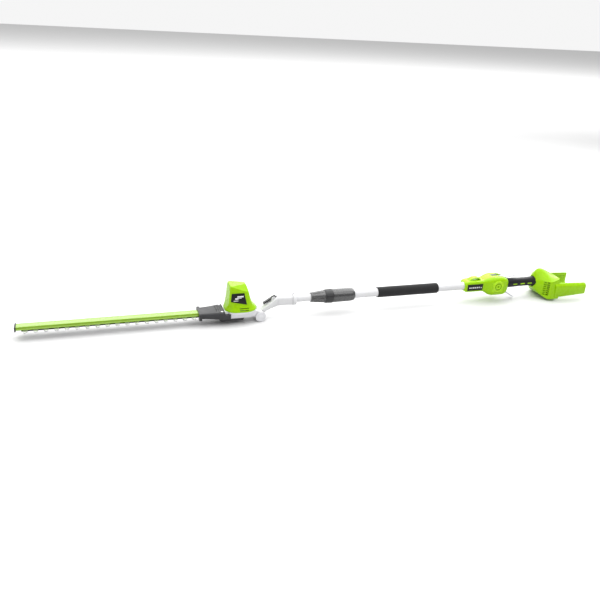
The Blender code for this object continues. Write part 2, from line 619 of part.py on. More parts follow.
def make_neck(mats):
    tongue_r = KNUCKLE_R - 1.5
    bm = bmesh.new()
    turned(bm, "Y", (KNUCKLE_STATION, 0, KNUCKLE_Z), rod_profile(-TONGUE_HALF, TONGUE_HALF, tongue_r), 28)
    neck = finish("neck_casting", bm, mats["white"])
    bm = bmesh.new()
    stations = (
        (718.0, -52.0, -28.0, 13.0, 5),
        (726.0, -42.0, -20.5, 13.4, 5),
        (735.0, -32.0, -13.5, 13.8, 5),
        (751.0, -24.0, -2.0, 14.2, 5),
        (766.0, -19.5, 10.0, 15.2, 6),
        (NECK_END, -18.5, 13.5, 16.0, 7),
    )
    loft(bm, [across(s, rounded(-w, w, low, high, r)) for s, low, high, w, r in stations])
    combine(neck, bm, "UNION")
    lever_centre = (LEVER_PIVOT[0], 0, LEVER_PIVOT[1])
    slot_half = LEVER_HALF + 0.4
    for side in (-1, 1):
        bm = bmesh.new()
        lug = [(752, -6), (766, 4), (766, 9), (763, 13.6), (757, 13.6), (752, 7)]
        side_prism(bm, lug, side * (slot_half + 0.1), side * (slot_half + 3.1))
        combine(neck, bm, "UNION")
    bm = bmesh.new()
    turned(bm, "Y", (KNUCKLE_STATION, 0, KNUCKLE_Z), rod_profile(-40, 40, KNUCKLE_BOLT_R + 0.1), 20)
    turned(bm, "Y", lever_centre, rod_profile(-40, 40, LEVER_PIN_R + GAP), 12)
    combine(neck, bm)
    bm = bmesh.new()
    block(bm, (740.0, 772.0), (-slot_half, slot_half), (4.2, 30.0))
    combine(neck, bm)

    bm = bmesh.new()
    turned(bm, "Y", lever_centre, rod_profile(-slot_half - 3.7, slot_half + 3.7, LEVER_PIN_R), 12)
    finish("lever_pin", bm, mats["steel"])
    bm = bmesh.new()
    bar = [(726.5, -9.5), (729.0, -11.0), (744.0, -2.2), (756.0, 5.0), (764.0, 9.4)]
    bar += [(767.5, 13.4), (766.0, 15.8), (761.0, 14.9), (752.0, 9.4), (727.5, -5.6)]
    side_prism(bm, bar, -LEVER_HALF, LEVER_HALF)
    lever = finish("release_lever", bm, mats["black"], origin=lever_centre)
    bm = bmesh.new()
    turned(bm, "Y", lever_centre, rod_profile(-40, 40, LEVER_PIN_R + 0.15), 12)
    combine(lever, bm)
    bm = bmesh.new()
    block(bm, (753.5, 765.0), (-3.0, 3.0), (2.0, 30.0))
    combine(lever, bm)
    bm = bmesh.new()
    turned(bm, "Y", lever_centre, tube_profile(-2.6, 2.6, 3.1, LEVER_PIN_R + 0.35), 12)
    finish("lever_spring", bm, mats["dark_steel"], origin=lever_centre)

    bm = bmesh.new()
    shape = rounded(-15.6, 15.6, -17.5, 14.2, 9, steps=4)
    loft(bm, [across(s, shape) for s in (NECK_END + GAP, SOCKET_END)])
    socket = finish("neck_socket", bm, mats["white"])
    bm = bmesh.new()
    bore = rod_profile(INNER_TUBE_FRONT - 0.4, SOCKET_END + 5, INNER_TUBE_R + GAP)
    turned(bm, "X", (0, 0, 0), bore, 28)
    combine(socket, bm)

    bm = bmesh.new()
    outer = [(y, z - 2.0) for y, z in circle(19.4, 28)]
    inner = circle(INNER_TUBE_R + GAP, 28)
    start, end = SOCKET_END + GAP, SOCKET_END + RING_WIDTH
    loops = [across(start, inner), across(start, outer), across(end, outer), across(end, inner)]
    rows = loft(bm, loops, False, False)
    bridge(bm, rows[-1], rows[0])
    ring = finish("socket_ring", bm, mats["white"])
    screw_at = ((start + end) / 2, 0, 0)
    bm = bmesh.new()
    turned(bm, "Z", screw_at, rod_profile(13.4, 30, 2.4), 12)
    combine(ring, bm)
    bm = bmesh.new()
    foot, head, top = 14.0, 17.8, 19.8
    screw = [(foot, 0), (foot, 2.1), (head, 2.1), (head, 4.0), (top - 0.4, 4.0), (top, 3.4), (top, 0)]
    turned(bm, "Z", screw_at, screw, 12)
    finish("ring_screw", bm, mats["steel"])


# ---- pole ----------------------------------------------------------------------------------------
def make_pole(mats):
    axis = (0, 0, 0)
    inner_bore = INNER_TUBE_R - INNER_TUBE_WALL
    outer_bore = OUTER_TUBE_R - OUTER_TUBE_WALL
    bm = bmesh.new()
    turned(bm, "X", axis, tube_profile(INNER_TUBE_FRONT, INNER_TUBE_REAR, INNER_TUBE_R, inner_bore), 28)
    finish("inner_tube", bm, mats["white"])
    bm = bmesh.new()
    rear, hole = INNER_TUBE_REAR, 7.5
    inside, guide = inner_bore - GAP, outer_bore - 0.25
    bush = [(rear - 18, hole), (rear - 18, inside), (rear + GAP, inside)]
    bush += [(rear + GAP, guide), (rear + 16, guide), (rear + 16, hole)]
    turned(bm, "X", axis, bush, 28)
    finish("tube_bush", bm, mats["black"])
    bm = bmesh.new()
    turned(bm, "X", axis, tube_profile(OUTER_TUBE_FRONT, OUTER_TUBE_REAR, OUTER_TUBE_R, outer_bore), 28)
    finish("outer_tube", bm, mats["white"])
    bm = bmesh.new()
    skin = OUTER_TUBE_R + GAP
    foam = [(FOAM_FRONT, skin), (FOAM_FRONT, FOAM_R - 0.8), (FOAM_FRONT + 1.5, FOAM_R)]
    foam += [(FOAM_REAR - 1.5, FOAM_R), (FOAM_REAR, FOAM_R - 0.8), (FOAM_REAR, skin)]
    turned(bm, "X", axis, foam, 28)
    finish("foam_grip", bm, mats["foam"])
    bm = bmesh.new()
    turned(bm, "X", axis, tube_profile(1462.0, 1538.0, 9.0, 5.0), 20)
    finish("cable_coil", bm, mats["rubber"])

    clear = INNER_TUBE_R + 0.35
    flutes, per_flute = 16, 4
    count = flutes * per_flute
    cone = (
        (COLLAR_FRONT, 15.4, 0.0),
        (COLLAR_FRONT + 3, 16.1, 0.5),
        (RING_FRONT - 7.5, 19.8, 0.8),
        (RING_FRONT, 20.2, 0.0),
    )
    loops = []
    for station, radius, depth in cone:
        loop = []
        for i in range(count):
            dipped = radius - depth * (i % per_flute < 2)
            angle = 2 * pi * i / count
            loop.append((station, dipped * cos(angle), dipped * sin(angle)))
        loops.append(loop)
    shoulder = COLLAR_FRONT + 8
    for station, radius in ((RING_FRONT, 17.0), (shoulder, 14.6), (shoulder, clear), (COLLAR_FRONT, clear)):
        loops.append(across(station, circle(radius, count)))
    bm = bmesh.new()
    rows = loft(bm, loops, False, False)
    bridge(bm, rows[-1], rows[0])
    finish("collar_nut", bm, mats["collar_grey"])
    bm = bmesh.new()
    start, end, under = RING_FRONT + GAP, RING_REAR - GAP, COLLAR_NECK_R + 0.8
    ring = [(start, under), (start, 21.4), (RING_FRONT + 6, 22.9)]
    ring += [(RING_REAR - 6, 23.4), (end, 22.4), (end, under)]
    turned(bm, "X", axis, ring, 32)
    finish("collar_ring", bm, mats["black"])
    bm = bmesh.new()
    front, slide, stop = COLLET_REAR + 1, INNER_TUBE_R + 0.5, OUTER_TUBE_FRONT - GAP
    body = [(front, slide), (front, COLLAR_NECK_R), (RING_REAR, COLLAR_NECK_R), (RING_REAR, 21.4)]
    body += [(RING_REAR + 2, 22.0), (COLLAR_REAR - 14, 21.9), (COLLAR_REAR - 4, 20.2)]
    body += [(COLLAR_REAR, 17.6), (COLLAR_REAR, skin), (stop, skin), (stop, slide)]
    turned(bm, "X", axis, body, 32)
    finish("collar_body", bm, mats["collar_grey"])
    bm = bmesh.new()
    bore = INNER_TUBE_R + GAP
    wedge = [(COLLET_FRONT, bore), (COLLET_FRONT, 13.9), (COLLET_REAR, 15.9), (COLLET_REAR, bore)]
    turned(bm, "X", axis, wedge, 28)
    collet = finish("collet", bm, mats["light_plastic"])
    bm = bmesh.new()
    block(bm, (COLLET_FRONT - 6, COLLET_REAR - 5), (-1.2, 1.2), (5.0, 20.0))
    combine(collet, bm)


# ---- rear handle ---------------------------------------------------------------------------------
# station, half width, low, high, corner radius
HANDLE_STATIONS = (
    (HANDLE_FRONT, 16.5, -13.0, 14.5, 6),
    (HANDLE_FRONT + 3, 21.2, -16.6, 20.0, 6),
    (1456.0, 22.8, -17.5, 21.5, 7),
    (1516.0, 23.0, -18.0, 22.0, 8),
    (1535.0, 28.8, -28.5, 28.0, 13),
    (1545.0, 32.0, -32.5, 31.0, 15),
    (1554.0, 33.4, -34.0, 33.0, 15),
    (1572.0, 33.5, -34.2, 33.5, 15),
    (1590.0, 33.4, -34.0, 31.5, 15),
    (1601.0, 32.2, -33.0, 28.5, 15),
    (1609.0, 29.0, -29.5, 25.0, 14),
    (1615.0, 23.5, -23.0, 20.8, 13),
    (HANDLE_REAR, 18.0, -18.5, 18.0, 11),
)


def make_halves(names, bm_outer, cuts, surface, joins=()):
    """Two shells from one outer solid: the same cuts on both, each then kept on its own side of the split."""
    source = bpy.data.meshes.new("outline")
    bm_outer.to_mesh(source)
    bm_outer.free()
    halves = []
    for side, name in zip((-1, 1), names):
        bm = bmesh.new()
        bm.from_mesh(source)
        shell = finish(name, bm, surface)
        for join in joins:
            bm = bmesh.new()
            join(bm)
            combine(shell, bm, "UNION")
        bm = bmesh.new()
        block(bm, (1300, 2100), (-side * 200, side * GAP / 2), (-200, 200))
        combine(shell, bm)
        for cut in cuts:
            bm = bmesh.new()
            cut(bm)
            combine(shell, bm)
        halves.append(shell)
    bpy.data.meshes.remove(source)
    return halves


def make_handle(mats):
    bm = bmesh.new()
    loft(bm, [across(s, rounded(-w, w, low, high, r)) for s, w, low, high, r in HANDLE_STATIONS])

    def core(target):
        turned(target, "X", (0, 0, 0), rod_profile(HANDLE_REAR - 5, GRIP_REAR + 8, CORE_R), 24)

    def strap_eye(target):
        outline = [(1463, 16), (1466, 22), (1472, 27), (1481, 30.4), (1492, 31.2), (1502, 29.6)]
        outline += [(1508, 26), (1511, 21), (1512, 16)]
        side_prism(target, outline, -8.0, 8.0)

    def boss(target):
        for side in (-1, 1):
            turned(target, "Y", BOSS, rod_profile(side * 20.0, side * 34.6, 20.6), 32)

    def eye_hole(target):
        outline = [(1470, 20.6), (1473, 23.6), (1482, 27.6), (1492, 28.4)]
        outline += [(1501, 27.0), (1506, 23.6), (1507, 20.6)]
        side_prism(target, outline, -20, 20)

    def hollow(target):
        deepest = HANDLE_REAR - 2 * WALL
        loops = [across(1537.0, rounded(-22, 22, -22, 22, 8))]
        for station, half, low, high, radius in HANDLE_STATIONS[5:-1]:
            inside = rounded(-half + WALL, half - WALL, low + WALL, high - WALL, radius - WALL)
            loops.append(across(min(station, deepest), inside))
        loft(target, loops)

    def tube_bore(target):
        bore = rod_profile(HANDLE_FRONT - 5, HANDLE_SOCKET_END, OUTER_TUBE_R + GAP)
        turned(target, "X", (0, 0, 0), bore, 28)

    def core_bore(target):
        turned(target, "X", (0, 0, 0), rod_profile(1600.0, GRIP_REAR + 20, CORE_R - WALL), 20)

    def trigger_slot(target):
        half = TRIGGER_HALF + 0.9
        block(target, (1592.0, 1640.0), (-half, half), (-60.0, -14.5))

    def lock_slot(target):
        half = LOCK_HALF + 0.8
        block(target, (1577.0, 1640.0), (-half, half), (13.5, 60.0))

    def pins(target):
        for (station, z), half in ((TRIGGER_PIVOT, TRIGGER_PIN_HALF), (LOCK_PIVOT, LOCK_PIN_HALF)):
            turned(target, "Y", (station, 0, z), rod_profile(-half - 0.8, half + 0.8, PIN_R + GAP), 12)

    def boss_rings(target):
        for side in (-1, 1):
            turned(target, "Y", BOSS, tube_profile(side * 33.2, side * 50, 12.4, 10.0), 24)
            turned(target, "Y", BOSS, rod_profile(side * 33.0, side * 50, 3.0), 16)

    cuts = (hollow, tube_bore, core_bore, eye_hole, trigger_slot, lock_slot, pins, boss_rings)
    names = ("handle_shell_left", "handle_shell_right")
    make_halves(names, bm, cuts, mats["green"], (core, strap_eye, boss))

    bm = bmesh.new()
    block(bm, (1453.0, 1513.0), (-24.2, -23.3), (-10.5, 12.0))
    finish("label_plate", bm, mats["badge"], bevel=0.3)

    bm = bmesh.new()
    outer = [(GRIP_FRONT, 16.5), (GRIP_FRONT + 3, 17.2), (1655.0, 16.6), (1682.0, 15.6), (1708.0, 15.9)]
    outer += [(1728.0, 17.2), (1738.0, 18.6), (GRIP_REAR - 2, GRIP_FLARE_R), (GRIP_REAR, GRIP_FLARE_R - 1)]
    profile = outer + [(GRIP_REAR, CORE_R + GAP), (GRIP_FRONT, CORE_R + GAP)]
    turned(bm, "X", (0, 0, 0), profile, 28)
    finish("grip_sleeve", bm, mats["rubber"])

    lever = [(1597, -31), (1596.5, -25), (1600, -22.5), (1606, -22.5), (1620, -28), (1636, -37.5)]
    lever += [(1650, -47), (1657.5, -51.5), (1655.5, -54.5), (1647, -50.5), (1632, -41.5)]
    lever += [(1614, -32.5), (1604, -31)]
    make_hand_lever(mats, "trigger", "trigger", TRIGGER_PIVOT, lever, TRIGGER_HALF, TRIGGER_PIN_HALF)
    lever = [(1586, 19.5), (1587, 25), (1591, 27.4), (1600, 27.4), (1614, 27), (1634, 28.6), (1650, 33)]
    lever += [(1664, 37), (1668.5, 36.8), (1668.5, 34.2), (1660, 32.8), (1650, 29.8), (1634, 25.6)]
    lever += [(1614, 23.8), (1602, 22), (1596, 18.5), (1589, 18)]
    make_hand_lever(mats, "lock_off_lever", "lock_off", LOCK_PIVOT, lever, LOCK_HALF, LOCK_PIN_HALF)

    bm = bmesh.new()
    block(bm, (1562.0, 1590.0), (-5.2, 5.2), (-20.0, -4.0))
    finish("trigger_switch", bm, mats["black"], bevel=0.6)


def make_hand_lever(mats, name, prefix, pivot, outline, half, pin_half):
    """A lever of the rear handle, forked at its pivot round a spring, with its pin."""
    station, z = pivot
    centre = (station, 0, z)
    fork_half, spring_r = 3.0, 3.4
    bm = bmesh.new()
    side_prism(bm, outline, -half, half)
    lever = finish(name, bm, mats["light_plastic"], origin=centre)
    bm = bmesh.new()
    turned(bm, "Y", centre, rod_profile(-20, 20, PIN_R + 0.25), 12)
    combine(lever, bm)
    bm = bmesh.new()
    block(bm, (station - 14.0, station + 5.0), (-fork_half, fork_half), (z - 13.0, z + 13.0))
    combine(lever, bm)
    bm = bmesh.new()
    turned(bm, "Y", centre, rod_profile(-pin_half, pin_half, PIN_R), 12)
    finish(f"{prefix}_pin", bm, mats["steel"])
    bm = bmesh.new()
    turned(bm, "Y", centre, tube_profile(-fork_half + 0.4, fork_half - 0.4, spring_r, PIN_R + 0.4), 12)
    finish(f"{prefix}_spring", bm, mats["steel"])


# ---- battery housing -----------------------------------------------------------------------------
# station, half width, how far the sides lean in, low, height of the side's upper edge, height of the ridge
BATTERY_STATIONS = (
    (1731.0, 16.0, 0.5, -23.0, 6.0, 12.0),
    (1735.5, 20.6, 0.5, -27.5, 9.0, 33.0),
    (1742.0, 27.6, 0.8, -33.4, 10.0, 42.8),
    (1753.0, 39.8, 1.8, -42.8, 11.0, 46.8),
    (1766.0, 54.0, 3.2, -51.6, 12.0, 45.0),
    (1773.0, 59.0, 4.0, BODY_LOW, 12.6, 42.0),
    (1783.0, 61.1, 5.2, BODY_LOW, 13.8, 37.2),
    (1795.0, 61.2, 7.5, BODY_LOW, 17.4, 31.0),
    (BAY_WALL, 61.2, 10.5, BODY_LOW, 22.0, 23.6),
)
CREST = 0.22                 # how round the roof's crest is, as a share of its half width


def body_outline(half, lean, low, edge, ridge, steps=10):
    """Flat bottom with rounded corners, upright sides, and two roof slopes that meet in a round crest."""
    r = min(5.0, half / 3)
    points = []
    for i in range(4):
        angle = radians(180 + 30 * i)
        points.append((-half + r + r * cos(angle), low + r + r * sin(angle)))
    for i in range(4):
        angle = radians(270 + 30 * i)
        points.append((half - r + r * cos(angle), low + r + r * sin(angle)))
    widest = (1 + CREST ** 2) ** 0.5
    for i in range(steps + 1):
        t = 1 - 2 * i / steps
        rise = (widest - (t * t + CREST ** 2) ** 0.5) / (widest - CREST)
        points.append(((half - lean) * t, edge + (ridge - edge) * rise))
    return points


def make_battery_housing(mats):
    bm = bmesh.new()
    loft(bm, [across(entry[0], body_outline(*entry[1:])) for entry in BATTERY_STATIONS])

    def arms(target):
        for side in (-1, 1):
            rows = []
            for station, low, high in ((1790.0, -46.8, 5.0), (1815.0, -45.6, 4.6), (ARM_END, -39.6, -1.0)):
                y = sorted((side * ARM_IN, side * ARM_OUT))
                rows.append(across(station, rounded(y[0], y[1], low, high, 2.5, steps=2)))
            loft(target, rows)

    def hollow(target):
        inside = [entry for entry in BATTERY_STATIONS if entry[0] > 1760]
        rows = []
        for station, half, lean, low, edge, ridge in inside:
            deep = min(station, BAY_WALL - 6.0)
            rows.append(across(deep, body_outline(half - WALL, lean, low + WALL, edge - WALL, ridge - WALL)))
        loft(target, rows)

    def grip_seat(target):
        step, bore = GRIP_REAR + GAP, CORE_R + GAP
        seat = GRIP_FLARE_R + GAP
        profile = [(1700.0, 0), (1700.0, seat), (step, seat), (step, bore), (1785.0, bore), (1785.0, 0)]
        turned(target, "X", (0, 0, 0), profile, 28)

    def window(target):
        block(target, (1795.0, 1830.0), (-13.0, 13.0), (TERMINAL_Z - 9, TERMINAL_Z + 9))

    def louvres(target):
        """Two columns of slots in the slanting face at the front of each side."""
        slot_height, pitch, half_length, top = 3.6, 7.3, 4.8, 5.8
        for side in (-1, 1):
            for station, y, count in ((1751.2, 37.8, 6), (1758.8, 46.3, 7)):
                at = Matrix.Translation((station, side * y, 0)) @ Matrix.Rotation(side * radians(48), 4, "Z")
                for i in range(count):
                    low = top - pitch * i
                    part = bmesh.new()
                    block(part, (-half_length, half_length), (-8.0, 8.0), (low, low + slot_height))
                    shift = Matrix.Translation((0, side * 5.0, 0))
                    bmesh.ops.transform(part, matrix=at @ shift, verts=part.verts)
                    mesh = bpy.data.meshes.new("louvre")
                    part.to_mesh(mesh)
                    part.free()
                    target.from_mesh(mesh)
                    bpy.data.meshes.remove(mesh)

    def rails(target):
        for side in (-1, 1):
            for low, high in ((-13.0, -9.0), (-30.0, -26.0)):
                y = sorted((side * (ARM_IN - 2), side * (ARM_IN + 3.5)))
                block(target, (BAY_WALL + 4, ARM_END - 8), y, (low, high))

    cuts = (hollow, grip_seat, window, louvres, rails)
    make_halves(("battery_housing_left", "battery_housing_right"), bm, cuts, mats["green"], (arms,))

    bm = bmesh.new()
    block(bm, (BAY_WALL - 2.5, BAY_WALL + 22), (-12.5, 12.5), (TERMINAL_Z - 8.5, TERMINAL_Z + 8.5))
    terminal = finish("terminal_block", bm, mats["black"])
    bm = bmesh.new()
    for y in (-7.0, 7.0):
        block(bm, (1812.0, 1840.0), (y - 2.0, y + 2.0), (TERMINAL_Z - 5.5, TERMINAL_Z + 5.5))
    combine(terminal, bm)
    for y, name in ((-7.0, "left"), (7.0, "right")):
        bm = bmesh.new()
        block(bm, (1812.4, 1830.0), (y - 0.5, y + 0.5), (TERMINAL_Z - 4.5, TERMINAL_Z + 4.5))
        finish(f"contact_{name}", bm, mats["copper"])

    bm = bmesh.new()
    block(bm, (1789.5, 1791.1), (-36.0, 36.0), (-42.0, 4.0))
    finish("circuit_board", bm, mats["board"])


def main():
    clear_scene()
    mats = make_materials()
    make_blade_group(mats)
    make_guard(mats)
    make_gear_case(mats)
    make_motor_cover(mats)
    make_drive(mats)
    make_knuckle(mats)
    make_neck(mats)
    make_pole(mats)
    make_handle(mats)
    make_battery_housing(mats)


main()
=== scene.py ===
import json
from math import cos, pi, radians, sin

import bmesh
import bpy
from mathutils import Matrix, Vector, noise


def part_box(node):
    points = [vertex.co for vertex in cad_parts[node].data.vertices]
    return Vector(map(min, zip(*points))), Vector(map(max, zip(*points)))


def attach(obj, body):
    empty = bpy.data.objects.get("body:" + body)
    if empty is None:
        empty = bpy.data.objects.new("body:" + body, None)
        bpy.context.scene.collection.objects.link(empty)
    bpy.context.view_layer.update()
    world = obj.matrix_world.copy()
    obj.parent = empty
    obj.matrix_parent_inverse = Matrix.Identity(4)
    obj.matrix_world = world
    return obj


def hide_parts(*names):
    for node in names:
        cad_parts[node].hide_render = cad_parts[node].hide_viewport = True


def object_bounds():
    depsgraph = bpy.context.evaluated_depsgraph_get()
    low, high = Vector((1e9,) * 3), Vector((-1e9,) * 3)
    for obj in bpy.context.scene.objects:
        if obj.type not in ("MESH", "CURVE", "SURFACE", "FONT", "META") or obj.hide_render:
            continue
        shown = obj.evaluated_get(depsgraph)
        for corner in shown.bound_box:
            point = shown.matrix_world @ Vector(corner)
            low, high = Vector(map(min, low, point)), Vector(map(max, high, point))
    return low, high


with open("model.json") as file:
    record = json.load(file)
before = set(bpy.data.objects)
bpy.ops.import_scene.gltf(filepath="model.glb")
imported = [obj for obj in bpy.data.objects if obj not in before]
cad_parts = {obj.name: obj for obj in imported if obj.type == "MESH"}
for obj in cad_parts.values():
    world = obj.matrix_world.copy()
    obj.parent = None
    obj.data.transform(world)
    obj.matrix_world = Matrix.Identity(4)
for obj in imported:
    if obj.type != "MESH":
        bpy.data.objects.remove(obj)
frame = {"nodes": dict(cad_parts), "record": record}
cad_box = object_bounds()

# Places are in millimetres in the pole's frame: a station along the pole, y across it and z above its axis.
MM = 0.001
TIP_STATION = -8.0
FRONT_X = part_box("tip_plate")[0].x
AXIS_Z = (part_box("outer_tube")[0].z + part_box("outer_tube")[1].z) / 2
WORLD = (
    Matrix.Translation((FRONT_X, 0.0, AXIS_Z))
    @ Matrix.Scale(MM, 4)
    @ Matrix.Translation((-TIP_STATION, 0.0, 0.0))
)
ON_AXIS = (0.0, 0.0, 0.0)
SIDES = ((-1, "left"), (1, "right"))
SLOT_OF = {part["node"]: part["material_slot"] for part in frame["record"]["subparts"]}
BODY_OF = {node: body for body, nodes in frame["record"]["behaviour"]["bodies"].items() for node in nodes}


def local(node):
    """A CAD node's box in the pole's frame, in millimetres."""
    low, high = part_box(node)
    back = WORLD.inverted()
    return back @ low, back @ high


# ---- materials -------------------------------------------------------------------------------------------
EVEN = (1.0, 1.0, 1.0)
ALONG_BLADE = (30.0, 1.0, 1.0)
ALONG_SHAFT = (40.0, 1.0, 1.0)
# how far the painted shade on the blades' spines fades out, in millimetres
SPINE_SHADE_FADE = 0.6
MIX_FACTOR, MIX_A, MIX_B, MIX_RESULT = 0, 6, 7, 2  # the colour sockets of Blender's Mix node
WHITE_EDGE = (0.9, 0.9, 0.9)
DULL = 0.22
SHADE_FROM, SHADE_TO = 0.35, 0.75  # the noise values between which a speckle fades in
GLOSS_FROM, GLOSS_TO = 0.3, 0.7
EDGE_FROM, EDGE_TO, EDGE_SHARE = 0.56, 0.70, 0.5


def set_range(node, low, high, to_low, to_high):
    for key, value in (("From Min", low), ("From Max", high), ("To Min", to_low), ("To Max", to_high)):
        node.inputs[key].default_value = value


class Shader:
    """A Principled material whose colour, roughness and bump come from procedural textures."""

    def __init__(self, name, color, roughness, metallic=0.0):
        self.made = bpy.data.materials.new(name)
        self.made.use_nodes = True
        self.tree = self.made.node_tree
        self.main = self.tree.nodes["Principled BSDF"]
        self.color = (*color, 1.0)
        self.roughness = roughness
        self.bump = None
        self.color_from = None
        self.made.diffuse_color = self.color
        self.set("Base Color", self.color)
        self.set("Roughness", roughness)
        self.set("Metallic", metallic)

    def set(self, socket, value):
        self.main.inputs[socket].default_value = value

    def add(self, kind, **values):
        node = self.tree.nodes.new(kind)
        for key, value in values.items():
            if key in node.inputs:
                node.inputs[key].default_value = value
            else:
                setattr(node, key, value)
        return node

    def link(self, source, target):
        self.tree.links.new(source, target)

    def coordinates(self, stretch=EVEN):
        where = self.add("ShaderNodeTexCoord")
        mapping = self.add("ShaderNodeMapping", Scale=stretch)
        self.link(where.outputs["Object"], mapping.inputs["Vector"])
        return mapping.outputs["Vector"]

    def noise(self, scale, detail, stretch=EVEN):
        texture = self.add("ShaderNodeTexNoise", Scale=scale, Detail=detail)
        self.link(self.coordinates(stretch), texture.inputs["Vector"])
        return texture.outputs["Fac"]

    def ranged(self, source, low, high, to_low=0.0, to_high=1.0):
        node = self.add("ShaderNodeMapRange")
        set_range(node, low, high, to_low, to_high)
        self.link(source, node.inputs["Value"])
        return node.outputs["Result"]

    def mix_color(self, factor, other):
        mix = self.add("ShaderNodeMix", data_type="RGBA")
        self.link(factor, mix.inputs[MIX_FACTOR])
        if self.color_from:
            self.link(self.color_from, mix.inputs[MIX_A])
        else:
            mix.inputs[MIX_A].default_value = self.color
        mix.inputs[MIX_B].default_value = (*other, 1.0)
        self.color_from = mix.outputs[MIX_RESULT]
        self.link(self.color_from, self.main.inputs["Base Color"])

    def speckle(self, scale, amount):
        """Slow changes of shade over the surface."""
        shade = tuple(channel * (1.0 - amount * 4.0) for channel in self.color[:3])
        self.mix_color(self.ranged(self.noise(scale, 4.0), SHADE_FROM, SHADE_TO), shade)

    def worn_edges(self, color):
        """A lighter shade where the surface is sharply convex."""
        shape = self.add("ShaderNodeNewGeometry")
        worn = self.ranged(shape.outputs["Pointiness"], EDGE_FROM, EDGE_TO, 0.0, EDGE_SHARE)
        self.mix_color(worn, color)

    def uneven_gloss(self, scale, amount, stretch=EVEN):
        low, high = self.roughness - amount, self.roughness + amount
        gloss = self.ranged(self.noise(scale, 5.0, stretch), GLOSS_FROM, GLOSS_TO, low, high)
        self.link(gloss, self.main.inputs["Roughness"])

    def relief(self, height, strength, distance):
        node = self.add("ShaderNodeBump", Strength=strength, Distance=distance)
        self.link(height, node.inputs["Height"])
        if self.bump:
            self.link(self.bump, node.inputs["Normal"])
        self.bump = node.outputs["Normal"]
        self.link(self.bump, self.main.inputs["Normal"])

    def grain(self, scale, strength, distance, stretch=EVEN):
        self.relief(self.noise(scale, 2.0, stretch), strength, distance)

    def pores(self, scale, strength, distance):
        cells = self.add("ShaderNodeTexVoronoi", Scale=scale)
        self.link(self.coordinates(), cells.inputs["Vector"])
        self.relief(cells.outputs["Distance"], strength, distance)
        return cells.outputs["Distance"]


def moulded(name, color, roughness, edge, specular=0.18):
    shader = Shader(name, color, roughness)
    shader.speckle(scale=22.0, amount=0.018)
    shader.worn_edges(edge)
    shader.uneven_gloss(scale=60.0, amount=0.06)
    shader.grain(scale=1800.0, strength=0.12, distance=0.0002)
    shader.set("Specular IOR Level", specular)
    return shader.made


def painted(name, color, roughness, edge, specular=0.2):
    shader = Shader(name, color, roughness)
    shader.speckle(scale=14.0, amount=0.008)
    shader.worn_edges(edge)
    shader.uneven_gloss(scale=90.0, amount=0.05)
    shader.grain(scale=420.0, strength=0.06, distance=0.0003)
    shader.set("Specular IOR Level", specular)
    shader.set("Coat Weight", 0.15)
    shader.set("Coat Roughness", 0.18)
    return shader.made


def ground_metal(name, color, roughness, along=ALONG_SHAFT):
    shader = Shader(name, color, roughness, metallic=1.0)
    shader.speckle(scale=30.0, amount=0.04)
    shader.uneven_gloss(scale=60.0, amount=0.10, stretch=along)
    shader.grain(scale=60.0, strength=0.15, distance=0.0001, stretch=along)
    return shader.made


def blade_metal(name, color, roughness, shade_half, spine_shade_color):
    """Painted shade: darker along the blade's back, which lies in shade under the bar; ground bright on the
    teeth.
    """
    shader = Shader(name, color, roughness, metallic=1.0)
    where = shader.add("ShaderNodeSeparateXYZ")
    shader.link(shader.coordinates(), where.inputs["Vector"])
    off_axis = shader.add("ShaderNodeMath", operation="ABSOLUTE")
    shader.link(where.outputs["Y"], off_axis.inputs[0])
    shader.speckle(scale=30.0, amount=0.04)
    edge, faded = shade_half * MM, (shade_half + SPINE_SHADE_FADE) * MM
    shader.mix_color(shader.ranged(off_axis.outputs["Value"], edge, faded, 1.0, 0.0), spine_shade_color)
    shader.uneven_gloss(scale=60.0, amount=0.10, stretch=ALONG_BLADE)
    shader.grain(scale=60.0, strength=0.15, distance=0.0001, stretch=ALONG_BLADE)
    return shader.made


def cast_metal(name, color, roughness):
    shader = Shader(name, color, roughness, metallic=0.35)
    shader.speckle(scale=45.0, amount=0.02)
    shader.worn_edges((0.9, 0.9, 0.91))
    shader.uneven_gloss(scale=300.0, amount=0.08)
    shader.grain(scale=900.0, strength=0.35, distance=0.0003)
    return shader.made


def foam_surface(name, color, roughness):
    """Open cells with painted shade in their hollows, over a soft, uneven skin."""
    shader = Shader(name, color, roughness)
    cells = shader.pores(scale=900.0, strength=0.7, distance=0.0006)
    # painted shade: the colour darkens towards the middle of each cell
    shader.mix_color(shader.ranged(cells, 0.0, 0.35, 0.35, 0.0), (0.004, 0.004, 0.004))
    shader.speckle(scale=60.0, amount=0.05)
    shader.grain(scale=180.0, strength=0.4, distance=0.0008)
    shader.set("Specular IOR Level", DULL)
    shader.set("Sheen Weight", 0.12)
    shader.set("Sheen Roughness", 0.5)
    return shader.made


def rubber_surface(name, color, roughness):
    shader = Shader(name, color, roughness)
    shader.pores(scale=650.0, strength=0.3, distance=0.0003)
    shader.speckle(scale=35.0, amount=0.05)
    shader.uneven_gloss(scale=50.0, amount=0.08)
    shader.set("Specular IOR Level", DULL)
    return shader.made


